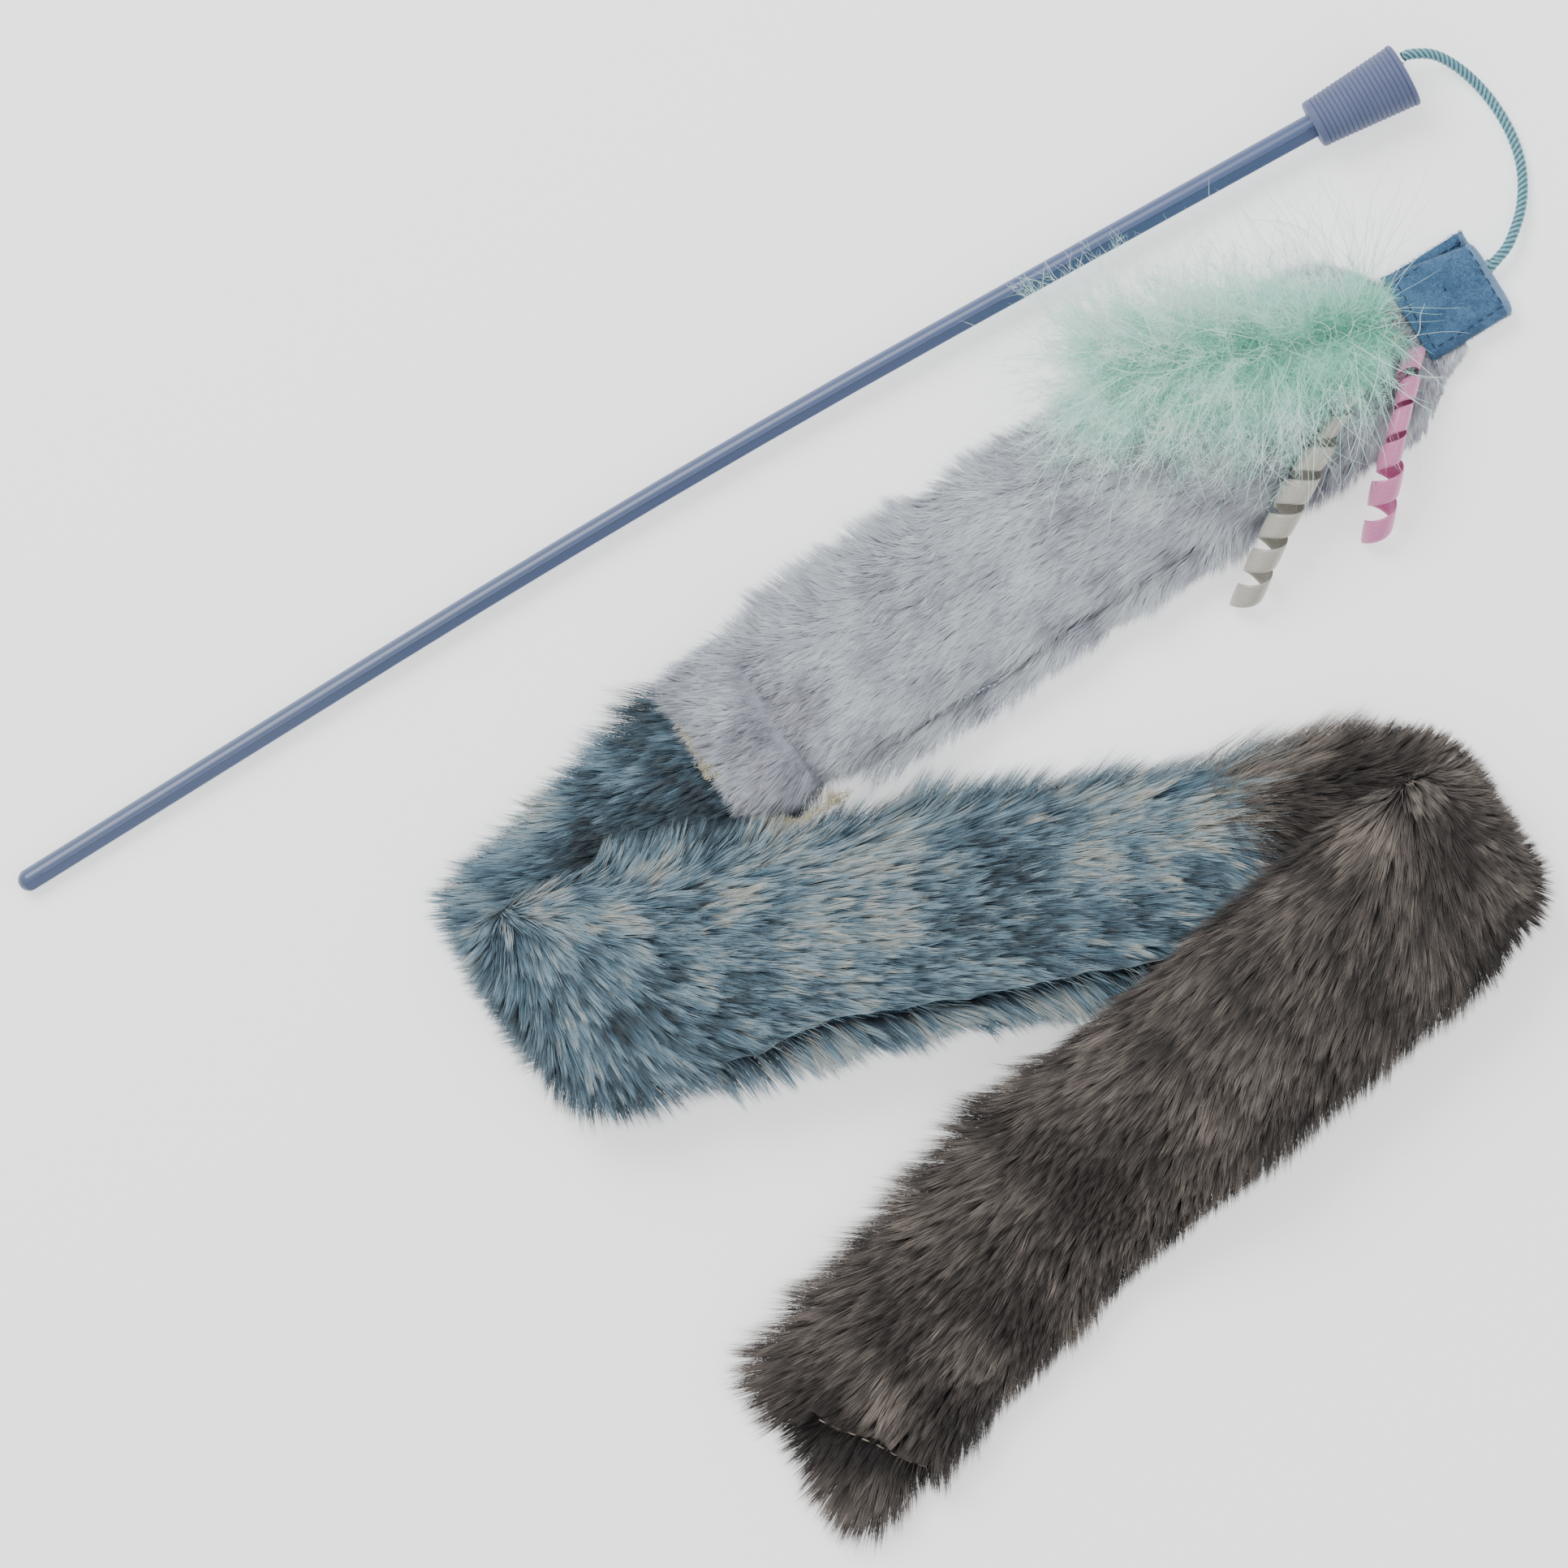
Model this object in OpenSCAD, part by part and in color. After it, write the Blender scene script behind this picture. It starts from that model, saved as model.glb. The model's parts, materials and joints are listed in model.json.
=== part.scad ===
// Cat teaser wand: a plastic rod with a ribbed bell cap, a satin cord, a sewn felt tab,
// a faux-fur tube in three colours folded into a Z, a marabou feather and two ribbon curls.
// It lies on a flat surface. Millimetres, +X along the grip, +Z up.
// The origin is the centre of the rod's domed butt, one rod radius above the surface.

/* [Rod] */
// Radius of the rod at the grip
rod_r = 3.15; // [2.6:0.05:3.3]
// Radius of the rod at its tip
tip_r = 3.45; // [3.0:0.05:3.8]
// Length of the straight grip
grip_len = 116; // [80:1:120]
// Length of the bowed middle stretch
bow_len = 180; // [150:1:190]
// Angle that the rod turns through along its bowed stretch
bow_angle = 2.9; // [1:0.1:3]
// Length of the tapering stretch between the bow and the cap
neck_len = 114.5; // [90:0.5:116]
// Distance of the flat facet from the rod's axis
facet_depth = 2.68; // [2.45:0.02:2.9]
// Angle of the facet from the top of the rod, towards the lure
facet_turn = 40; // [0:1:80]

/* [Cap] */
// Length of the ribbed cap
cap_len = 29; // [28.5:0.5:34]
// Radius of the cap's narrow end
cap_narrow_r = 6.8; // [6:0.1:8]
// Radius of the cap's wide end
cap_wide_r = 9.25; // [9:0.05:11]
// Number of ribs
rib_count = 18; // [12:1:22]
// Depth of the grooves between the ribs
rib_depth = 0.38; // [0.1:0.02:0.5]
// Length of the smooth band at the narrow end
narrow_band = 2.2; // [1.5:0.1:3]
// Length of the smooth band at the wide end
wide_band = 1.6; // [1.4:0.1:3]
// Edge rounding of both ends
cap_round = 0.7; // [0.3:0.1:0.9]
// Depth of the bore that grips the rod
cap_grip = 14; // [10:0.5:15]
// Length of the chamber that holds the stopper knot
chamber_len = 6; // [5.6:0.1:7]
// Thickness of the web that the knot bears on
web_t = 1.5; // [1:0.1:2.5]
// Wall of the cap at the mouth of the bell
bell_wall = 1.4; // [1:0.1:2]
// Radial clearance of the rod in the cap, filled with glue
glue_gap = 0.05; // [0.02:0.01:0.2]

/* [Cord] */
// Diameter of the satin cord
cord_d = 3.1; // [2:0.1:3.2]
// Radial clearance of the cord in the holes it runs through
cord_clear = 0.25; // [0.2:0.05:0.5]
// Gap at each point where the cord bends like a joint
pivot_gap = 0.2; // [0.2:0.05:0.5]
// Radius of the stopper knot in the cap
stopper_r = 3; // [2.6:0.1:3.2]
// Radius of the knot between the felt leaves
tab_knot_r = 2.3; // [1.8:0.1:2.4]
// Length of the cord from outside the tab to the middle of that knot
stub_len = 10; // [8:0.5:14]

/* [Felt tab] */
// Length of the tab, from its fold towards the fur
tab_len = 27; // [22:0.5:27.5]
// Width of the tab
tab_w = 26; // [24:0.5:30]
// Thickness of the felt
felt_t = 1.4; // [1:0.1:1.8]
// Space between the two felt leaves
leaf_gap = 5.4; // [5.2:0.1:6]
// Height of the tab above the surface
tab_lift = 0.5; // [0.3:0.1:0.6]
// Amount by which the upper leaf is out of line with the lower one
leaf_skew = 4.5; // [0:0.5:6]

/* [Fur] */
// Width of the flattened fur tube without the tips of its pile
fur_w = 50; // [40:1:51]
// Thickness of the flattened fur tube
fur_t = 13; // [11:0.5:13.5]
// Gap between layers of fur that lie on each other
layer_gap = 0.4; // [0.3:0.05:0.6]
// Length of fur gathered between the felt leaves
neck_in = 8; // [4:0.5:9]
// Length of the grey tube from its gathered start to its raw end
grey_run = 234; // [225:1:240]
// Distance of the left fold from the raw end of the grey tube
blue_upper_run = 80; // [76:1:90]
// Length of the blue tube after the left fold, measured along X
blue_lower_run = 192; // [185:1:195]
// Length of the brown tube before the right fold, measured along X
brown_upper_run = 59.5; // [56:0.5:64]
// Length of the brown tube after the right fold, measured along X
brown_lower_run = 246; // [225:1:255]
// Length of the blue tube that lies under the end of the grey one
under_run = 27; // [24:1:28]

/* [Feather] */
// Length of the marabou feather
feather_len = 88; // [70:1:92]
// Width of the dense part of the down
down_w = 36; // [24:1:38]
// Height of the dense part of the down
down_t = 18; // [12:1:20]
// Radius of the quill at its root
quill_r = 0.6; // [0.4:0.05:0.8]

/* [Ribbons] */
// Width of the satin ribbon
ribbon_w = 6.3; // [4:0.1:6.5]
// Thickness of the satin ribbon
ribbon_t = 0.35; // [0.25:0.05:0.5]
// Radius of the ribbon curls
curl_r = 3.9; // [3:0.1:4]
// Turns of the pink ribbon
pink_turns = 5.5; // [3:0.5:6]
// Turns of the grey ribbon
grey_turns = 8.5; // [5:0.5:9]

/* [Lay] */
// Distance of the tab's fold from the butt, along X
tab_x = 431.2; // [431:0.1:440]
// Place of the tab's middle to the side of the grip's axis
tab_y = -69.5; // [-72:0.5:-68]
// Place of the fur's middle at the left fold, to the side of the tab's middle
left_fold_y = -26.5; // [-32:0.5:-24]
// Place of the fur's middle at the right fold, to the side of the tab's middle
right_fold_y = -130; // [-133:0.5:-128]
// Place of the fur's middle at its free end, to the side of the tab's middle
tail_y = -177; // [-182:1:-174]

/* [Hidden] */
$fn = 64;

// The surface that everything lies on
floor_z = -rod_r;
cord_r = cord_d / 2;
// Middle height of the space between the leaves of the felt tab
leaf_mid = floor_z + tab_lift + felt_t + leaf_gap / 2;
// Length by which a cut runs past the face that it opens
overrun = 1;

// The bowed rod: the bow's radius, and where it ends
bow_r = bow_len / (bow_angle * PI / 180);
bow_end = [grip_len + bow_r * sin(bow_angle), -bow_r * (1 - cos(bow_angle))];
// Segments of a whole turn of the bow, and of the round section that it is swept from
bow_fn = 2400;
section_fn = 64;
// Length by which one stretch of rod runs into the next, and the step that keeps faces apart
bond = 0.5;
bond_step = 0.02;
bow_round_r = rod_r - bond_step;
tip_depth = facet_depth * tip_r / rod_r;
facet_slope = atan((tip_depth - facet_depth) / neck_len);
// The rod lies on its butt and on the rim of its cap, so it rises a little to the tip
rim_run = bow_end[0] + (neck_len + cap_len - wide_band) * cos(bow_angle);
tilt = atan(cap_wide_r / rim_run) - asin(rod_r / norm([rim_run, cap_wide_r]));

// A point on the cap's axis, this far from the cap's narrow end
function on_cap(d) =
    let (x = bow_end[0] + (neck_len + d) * cos(bow_angle))
    [x * cos(tilt), bow_end[1] - (neck_len + d) * sin(bow_angle), x * sin(tilt)];

// Cap: where the web and the bell start
web_at = cap_grip + chamber_len;
bell_at = web_at + web_t;
bell_len = cap_len - bell_at;
// Ribs of the cap: four points to a rib, on a cone
rib_pitch = (cap_len - narrow_band - wide_band) / rib_count;
rib_shares = [0, 0.17, 0.5, 0.83];
function cone_r(z) = cap_narrow_r + (cap_wide_r - cap_narrow_r) * z / cap_len;
function rib_point(i, share) =
    let (z = narrow_band + (i + share) * rib_pitch)
    [cone_r(z) - rib_depth * (1 - sqrt(sin(180 * share))), z];
round_steps = 4;
round_angle = 90 / round_steps;
function end_round(r, z, from) = [
    for (i = [0 : round_steps])
        let (a = from + round_angle * i)
        [r - cap_round + cap_round * cos(a), z + cap_round * sin(a)]];
cap_outline = concat(
    [[0, 0]],
    end_round(cap_narrow_r, cap_round, -90),
    [[cone_r(narrow_band), narrow_band - rib_pitch * rib_shares[1]]],
    [for (i = [0 : rib_count - 1]) for (s = rib_shares) rib_point(i, s)],
    [rib_point(rib_count, 0)],
    [[cap_wide_r, cap_len - wide_band + rib_pitch * rib_shares[1]]],
    end_round(cap_wide_r, cap_len - cap_round, 0),
    [[0, cap_len]]);

// A closed solid through a list of rings, each with the same number of points
function ring_faces(rings, sides) = concat(
    [for (i = [0 : rings - 2]) for (j = [0 : sides - 1])
        [i * sides + j, i * sides + (j + 1) % sides, (i + 1) * sides + j]],
    [for (i = [0 : rings - 2]) for (j = [0 : sides - 1])
        [i * sides + (j + 1) % sides, (i + 1) * sides + (j + 1) % sides, (i + 1) * sides + j]],
    [for (j = [1 : sides - 2]) [0, j + 1, j]],
    [for (j = [1 : sides - 2])
        [(rings - 1) * sides, (rings - 1) * sides + j, (rings - 1) * sides + j + 1]]);
module loft(rings) {
    flat = [for (ring = rings) for (p = ring) p];
    polyhedron(flat, ring_faces(len(rings), len(rings[0])), convexity = 10);
}
function unit(v) = v / norm(v);
function side_of(t) = unit(cross([0, 0, 1], t));
function up_of(t) = cross(t, side_of(t));
function run_dir(p, i) = unit(p[min(i + 1, len(p) - 1)] - p[max(i - 1, 0)]);

// Round tubes: rings square to the route
function tube_ring(c, t, r, sides) = [
    for (j = [0 : sides - 1])
        let (a = -360 * j / sides)
        c + r * (cos(a) * side_of(t) + sin(a) * up_of(t))];
function tube(p, r, sides) = [for (i = [0 : len(p) - 1]) tube_ring(p[i], run_dir(p, i), r, sides)];
// Ball-shaped ends, so that a tube can turn about its end points. Shares of the radius.
ball_shares = [[0.92, 0.4], [0.66, 0.75], [0.25, 0.97]];
function ball(p, t, r, sides, way) = [
    for (i = [0 : len(ball_shares) - 1])
        let (b = ball_shares[way > 0 ? len(ball_shares) - 1 - i : i])
        tube_ring(p + way * t * r * b[0], t, r * b[1], sides)];

// The cord's free stretch, from the bell's mouth to the tab. Heights are above the surface.
cord_points = [
    [441, -7.5, 9.3], [445.5, -9, 8.6], [449.5, -12, 6.9], [452.7, -17, 4.7], [455, -23, 2.7],
    [456.3, -29.5, 1.7], [456.6, -36, 1.6], [456, -42.5, 1.6], [454.3, -49, 1.7],
    [451.3, -55, 2.1], [447, -60.5, 3], [441.6, -65, 4.1], [438, -67.2, 4.5], [434, -68.5, 4.6]];
cord_sides = 8;
cord_last = len(cord_points) - 1;
// Where its first point is from the middle of the cap's mouth, and its last from the tab's fold
cord_lead = [1.76, 4.31, 0.05];
cord_tail = [2.8, 1, 0];
// The points follow the mouth at the start and the tab at the end
lead_shift = on_cap(cap_len) + cord_lead - cord_points[0] - [0, 0, floor_z];
tail_shift = [tab_x, tab_y, leaf_mid] + cord_tail - cord_points[cord_last] - [0, 0, floor_z];
cord_route = [for (i = [0 : cord_last])
    let (share = i / cord_last)
    cord_points[i] + [0, 0, floor_z] + (1 - share) * lead_shift + share * tail_shift];
// The stretch inside the bell, from the web to the mouth. It stops short of the free one.
root_bend = [[434.4, -11.2, 9.2], [436.6, -10, 9.2]];
bend_points = [for (p = root_bend) p + [0, 0, floor_z] + lead_shift];
root_points = [
    on_cap(web_at), on_cap(bell_at), bend_points[0], bend_points[1],
    cord_route[0] + unit(bend_points[1] - cord_route[0]) * (cord_r + pivot_gap)];
// The stretch that enters the fold of the tab starts as far from the cord's other end
stub_start = cord_route[cord_last] - [cord_r + pivot_gap, 0, 0];

// Felt tab: the fold's outer radius, and the tab's open edge
fold_r = felt_t + leaf_gap / 2;
tab_edge = tab_x - tab_len;

// Stations of the fur tube. Each row has the share of the run, the two edges as shares of the
// width from the middle line, then the lift and the thickness as shares of the thickness.
// A negative lift takes the layer below away: at -1 the stretch lies on the surface.
grey_shares = [
    [0.000, 0.21, -0.21, 0.16, 0.29], [0.034, 0.23, -0.23, 0.16, 0.29],
    [0.056, 0.33, -0.33, 0.10, 0.44], [0.085, 0.44, -0.45, 0.02, 0.72],
    [0.130, 0.49, -0.51, 0.00, 0.94], [0.200, 0.50, -0.50, 0.00, 1.00],
    [0.340, 0.51, -0.50, 0.00, 1.00], [0.480, 0.51, -0.49, 0.00, 1.00],
    [0.620, 0.50, -0.49, 0.00, 1.00], [0.700, 0.50, -0.49, 0.05, 1.00],
    [0.760, 0.49, -0.49, 0.18, 1.00], [0.815, 0.48, -0.48, 0.40, 0.98],
    [0.850, 0.47, -0.47, 0.56, 0.88], [0.880, 0.46, -0.46, 0.62, 0.66],
    [0.905, 0.45, -0.45, 0.62, 0.48], [0.935, 0.46, -0.46, 0.62, 0.62],
    [0.975, 0.45, -0.45, 0.62, 0.56], [0.994, 0.41, -0.41, 0.66, 0.36],
    [1.000, 0.36, -0.36, 0.70, 0.16]];
blue_upper_shares = [
    [0.000, 0.34, -0.34, 0.06, 0.18], [0.015, 0.40, -0.40, 0.00, 0.44],
    [0.060, 0.44, -0.44, 0.00, 0.57], [0.250, 0.48, -0.48, 0.00, 0.59],
    [0.360, 0.50, -0.50, 0.00, 0.72], [0.520, 0.52, -0.50, 0.00, 0.78],
    [0.750, 0.55, -0.50, 0.00, 0.78], [0.930, 0.58, -0.52, 0.00, 0.78],
    [0.975, 0.56, -0.50, 0.03, 0.66], [1.000, 0.50, -0.44, 0.16, 0.36]];
blue_lower_shares = [
    [0.000, 0.36, -0.60, 0.18, 0.40], [0.014, 0.43, -0.68, 0.04, 0.76],
    [0.050, 0.48, -0.69, 0.00, 0.96], [0.130, 0.55, -0.64, 0.00, 1.00],
    [0.250, 0.58, -0.59, 0.00, 1.00], [0.440, 0.57, -0.54, 0.00, 1.00],
    [0.500, 0.57, -0.53, -0.26, 1.00], [0.560, 0.57, -0.53, -0.62, 0.98],
    [0.620, 0.57, -0.54, -1.00, 0.95], [0.800, 0.56, -0.54, -1.00, 0.95],
    [0.940, 0.55, -0.54, -1.00, 0.93], [0.980, 0.54, -0.53, -1.00, 0.84],
    [1.000, 0.51, -0.51, -1.00, 0.70]];
brown_upper_shares = [
    [0.000, 0.51, -0.51, 0.00, 0.70], [0.060, 0.54, -0.54, 0.00, 0.84],
    [0.250, 0.57, -0.54, 0.00, 0.95], [0.520, 0.59, -0.54, 0.00, 0.95],
    [0.800, 0.58, -0.50, 0.00, 0.95], [0.930, 0.54, -0.46, 0.02, 0.84],
    [1.000, 0.40, -0.36, 0.18, 0.44]];
brown_lower_shares = [
    [0.000, 0.32, -0.36, 0.18, 0.40], [0.014, 0.42, -0.44, 0.04, 0.78],
    [0.050, 0.50, -0.50, 0.00, 0.96], [0.140, 0.55, -0.51, 0.00, 1.00],
    [0.300, 0.60, -0.48, 0.00, 1.00], [0.430, 0.62, -0.46, 0.00, 1.00],
    [0.490, 0.63, -0.45, -0.28, 1.00], [0.550, 0.64, -0.44, -0.66, 1.00],
    [0.610, 0.64, -0.44, -1.00, 1.00], [0.760, 0.58, -0.47, -1.00, 1.00],
    [0.900, 0.53, -0.50, -1.00, 0.96], [0.930, 0.52, -0.50, -1.00, 0.64],
    [0.955, 0.52, -0.50, -1.00, 0.74], [0.985, 0.50, -0.48, -1.00, 0.58],
    [1.000, 0.43, -0.41, -0.95, 0.30]];
fur_sides = 20;
// Depth by which the rounded layers are flattened where they lie
fur_flat = 0.5;
fur_power = 0.75;
function bulge(v) = sign(v) * pow(abs(v), fur_power);
function fur_ring(x, y0, y1, h, t, way) = [
    for (j = [0 : fur_sides - 1])
        let (a = way * 360 * j / fur_sides, raw = h + t / 2 + (t / 2 + fur_flat) * bulge(sin(a)))
        [x, (y0 + y1) / 2 + (y0 - y1) / 2 * bulge(cos(a)), floor_z + min(max(raw, h), h + t)]];
// rows: stations. from, to: x of both ends. y_from, y_to: side place of the middle line.
// step: height of the layer that the stretch lies on.
function fur_rings(rows, from, to, y_from, y_to, step) = [
    for (row = rows)
        let (
            x = from + (to - from) * row[0],
            y = y_from + (y_to - y_from) * row[0],
            h = row[3] < 0 ? step * (1 + row[3]) : step + row[3] * fur_t)
        fur_ring(x, y + row[1] * fur_w, y + row[2] * fur_w, h, row[4] * fur_t, sign(from - to))];

// Where the fur tube starts, its raw grey end, its two folds and its free end
neck_x = tab_edge + neck_in;
grey_end = neck_x - grey_run;
left_fold = grey_end - blue_upper_run;
blue_end = left_fold + blue_lower_run;
brown_start = blue_end + layer_gap;
right_fold = brown_start + brown_upper_run;
tail_end = right_fold - brown_lower_run;
// Tops of the layers that others lie on
blue_upper_top = max([for (row = blue_upper_shares) row[3] + row[4]]) * fur_t;
brown_upper_top = max([for (row = brown_upper_shares) row[3] + row[4]]) * fur_t;
left_step = blue_upper_top + layer_gap;
right_step = brown_upper_top + layer_gap;
// The middle line between the two folds is straight, over the blue and the brown stretch
fold_slope = (right_fold_y - left_fold_y) / (right_fold - left_fold);
function between_folds(x) = tab_y + left_fold_y + fold_slope * (x - left_fold);

// Height of the grey fur's top, which the feather and the ribbons lie on
fur_top = floor_z + fur_t;
// Height at which the feather and the ribbons come out of the tab
root_z = leaf_mid + leaf_gap / 2 - quill_r;

// Feather: its root, its direction, and the stations of quill and down
feather_turn = 155.5;
feather_side = 1.5;
feather_root = [tab_edge - quill_r - pivot_gap, tab_y + feather_side, root_z];
feather_dir = [cos(feather_turn), sin(feather_turn), 0];
// Share of the length, share of the rise to the middle of the down, share of the radius
quill_shares = [
    [0.00, 0.00, 1.0], [0.06, 0.28, 1.0], [0.14, 0.58, 0.95], [0.26, 0.84, 0.9],
    [0.42, 1.00, 0.8], [0.60, 1.02, 0.7], [0.78, 0.96, 0.6], [0.94, 0.88, 0.45]];
quill_rise = fur_top - root_z + down_t / 2;
quill_sides = 8;
// Share of the length, the two edges as shares of the width, underside and top above the fur
down_shares = [
    [0.11, 0.05, -0.05, 0.02, 0.12], [0.19, 0.20, -0.18, 0.02, 0.44],
    [0.30, 0.34, -0.46, 0.02, 0.80], [0.46, 0.42, -0.58, 0.02, 1.00],
    [0.66, 0.46, -0.52, 0.02, 0.98], [0.82, 0.40, -0.40, 0.02, 0.82],
    [0.94, 0.22, -0.24, 0.10, 0.60], [1.00, 0.07, -0.08, 0.24, 0.44]];
down_sides = 18;
function along_feather(share) = feather_root + feather_dir * feather_len * share;
quill_route = [for (row = quill_shares) along_feather(row[0]) + [0, 0, quill_rise * row[1]]];
function down_ring(row) = [
    for (j = [0 : down_sides - 1])
        let (
            a = -360 * j / down_sides,
            c = along_feather(row[0]),
            share = cos(a) > 0 ? -row[2] : row[1])
        [c[0], c[1], fur_top + down_t * (row[3] + row[4]) / 2]
            + side_of(feather_dir) * down_w * share * cos(a)
            + [0, 0, down_t * (row[4] - row[3]) / 2 * sin(a)]];

// Ribbon curls: a flat band wound round a curve with three guide points
ribbon_root = tab_edge - ribbon_w / 2 - quill_r;
lie_z = floor_z + curl_r + ribbon_t;
// Distances of the guide points from the tab's edge back along the fur, and from its middle line
// to the side, and their rise in curl radii
pink_side = 10.5;
pink_mid_back = 10;
pink_mid_side = 26.5;
pink_end_back = 34;
pink_end_side = 45.5;
pink_rise_shares = [0.7, 3.2];
pink_guides = [
    [ribbon_root, tab_y - pink_side, root_z + curl_r * pink_rise_shares[0]],
    [ribbon_root - pink_mid_back, tab_y - pink_mid_side, fur_top + curl_r * pink_rise_shares[1]],
    [ribbon_root - pink_end_back, tab_y - pink_end_side, lie_z]];
grey_side = 2.5;
grey_mid_back = 41;
grey_mid_side = 16;
grey_end_back = 74;
grey_end_side = 42;
grey_rise_shares = [0.4, 4.7];
grey_guides = [
    [ribbon_root, tab_y - grey_side, root_z + curl_r * grey_rise_shares[0]],
    [ribbon_root - grey_mid_back, tab_y - grey_mid_side, fur_top + curl_r * grey_rise_shares[1]],
    [ribbon_root - grey_end_back, tab_y - grey_end_side, lie_z]];
ribbon_steps = 13;
function bent(g, t) = (1 - t) * (1 - t) * g[0] + 2 * t * (1 - t) * g[1] + t * t * g[2];
function bent_dir(g, t) = unit((1 - t) * (g[1] - g[0]) + t * (g[2] - g[1]));
function ribbon_ring(g, turns, grow, t) =
    let (
        c = bent(g, t), d = bent_dir(g, t), a = 360 * turns * t,
        out = cos(a) * side_of(d) + sin(a) * up_of(d),
        r = curl_r * min(1, 0.12 + t / grow))
    [for (k = [[1, -1], [1, 1], [-1, 1], [-1, -1]])
        c + out * (r + k[0] * ribbon_t / 2) + d * (k[1] * ribbon_w / 2)];
function ribbon_rings(g, turns, grow) =
    let (n = ceil(ribbon_steps * turns))
    [for (i = [0 : n]) ribbon_ring(g, turns, grow, i / n)];
pink_grow = 0.05;
grey_grow = 0.3;
// Least gap between one turn of a ribbon and the next, measured on the band's corners
function ribbon_gap(g, turns, grow) =
    let (rings = ribbon_rings(g, turns, grow), skip = floor(ribbon_steps * 0.6))
    min([for (i = [ribbon_steps : len(rings) - 1 - skip]) for (j = [i + skip : len(rings) - 1])
        min([for (a = rings[i]) for (b = rings[j]) norm(a - b)])]);
echo(pink_ribbon_least_gap = ribbon_gap(pink_guides, pink_turns, pink_grow));
echo(grey_ribbon_least_gap = ribbon_gap(grey_guides, grey_turns, grey_grow));

// What the facet takes away from a stretch of rod that starts at the origin
module facet_cut(length, depth, slope) {
    rotate([facet_turn, 0, 0]) translate([0, -2 * tip_r, depth]) rotate([0, -slope, 0])
        translate([-overrun, 0, 0]) cube([length + 2 * overrun, 4 * tip_r, 2 * tip_r]);
}

module lifted() {
    rotate([0, -tilt, 0]) children();
}

module at_cap() {
    lifted() translate([bow_end[0], bow_end[1], 0]) rotate(-bow_angle)
        translate([neck_len, 0, 0]) children();
}

// A straight stretch of the rod: round, with one flat facet
module stretch(length, r_from, r_to, depth, slope) {
    difference() {
        rotate([0, 90, 0]) cylinder(r1 = r_from, r2 = r_to, h = length);
        facet_cut(length, depth, slope);
    }
}

// The same, starting inside the stretch before it
module next_stretch(length, r_from, r_to, depth, slope) {
    translate([-bond, 0, 0])
        stretch(length + bond, r_from - bond_step, r_to, depth - bond_step, slope);
}

module butt_dome() {
    difference() {
        sphere(r = rod_r);
        translate([0, -tip_r, -tip_r]) cube(2 * tip_r);
        translate([-2 * rod_r, 0, 0]) facet_cut(2 * rod_r, facet_depth, 0);
    }
}

// The bowed stretch starts inside the grip too
module bow() {
    back = bond / bow_r * 180 / PI;
    translate([grip_len, -bow_r, 0]) rotate(90 - bow_angle) difference() {
        rotate_extrude(angle = bow_angle + back, $fn = bow_fn) translate([bow_r, 0])
            circle(r = bow_round_r, $fn = section_fn);
        rotate(-overrun) rotate_extrude(angle = bow_angle + 2 * overrun, $fn = bow_fn)
            translate([bow_r, 0]) rotate(facet_turn) translate([-tip_r, facet_depth - bond_step])
                square([2 * tip_r, tip_r]);
    }
}

module wand_rod() {
    color("#7486ad") {
        lifted() {
            butt_dome();
            stretch(grip_len, rod_r, rod_r, facet_depth, 0);
            bow();
            translate([bow_end[0], bow_end[1], 0]) rotate(-bow_angle)
                next_stretch(neck_len, bow_round_r, tip_r, facet_depth - bond_step, facet_slope);
        }
        at_cap() next_stretch(cap_grip, tip_r, tip_r - bond_step, tip_depth, 0);
    }
}

// The bell opens wider to its mouth
module bell_cut() {
    start_r = cone_r(bell_at) - rib_depth - bell_wall;
    mouth_r = cap_wide_r - bell_wall;
    end_r = mouth_r + (mouth_r - start_r) * overrun / bell_len;
    translate([0, 0, bell_at]) cylinder(r1 = start_r, r2 = end_r, h = bell_len + overrun);
}

module tip_cap() {
    color("#8790b4") at_cap() rotate([0, 90, 0]) difference() {
        rotate_extrude() polygon(cap_outline);
        translate([0, 0, -overrun]) cylinder(r = tip_r + glue_gap, h = web_at + overrun);
        cylinder(r = cord_r + cord_clear, h = cap_len);
        bell_cut();
    }
}

// A knot, as a barrel
module knot(r, length) {
    edge = r / 3;
    rotate_extrude() polygon([
        [0, 0], [r - edge, 0], [r, edge], [r, length - edge], [r - edge, length], [0, length]]);
}

// It bears on the web
module stopper_knot() {
    knot_len = chamber_len - 2 * cord_clear;
    color("#a9d5d6") at_cap() rotate([0, 90, 0]) translate([0, 0, web_at - knot_len])
        knot(stopper_r, knot_len);
}

module cord_root() {
    color("#a9d5d6") loft(tube(root_points, cord_r, cord_sides));
}

module cord() {
    first = run_dir(cord_route, 0);
    last = run_dir(cord_route, cord_last);
    color("#a9d5d6") loft(concat(
        ball(cord_route[0], first, cord_r, cord_sides, -1),
        tube(cord_route, cord_r, cord_sides),
        ball(cord_route[cord_last], last, cord_r, cord_sides, 1)));
}

// The cord's end runs through the fold of the tab into a knot between the leaves
module tab_knot() {
    color("#a9d5d6") translate(stub_start) rotate([0, -90, 0]) {
        cylinder(r = cord_r, h = stub_len);
        translate([0, 0, stub_len - tab_knot_r]) knot(tab_knot_r, 2 * tab_knot_r);
    }
}

module felt_leaf(skew) {
    linear_extrude(felt_t) polygon([
        [tab_edge, tab_y - tab_w / 2], [tab_x - fold_r, tab_y - tab_w / 2],
        [tab_x - fold_r, tab_y + tab_w / 2 - skew], [tab_edge, tab_y + tab_w / 2]]);
}

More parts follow.
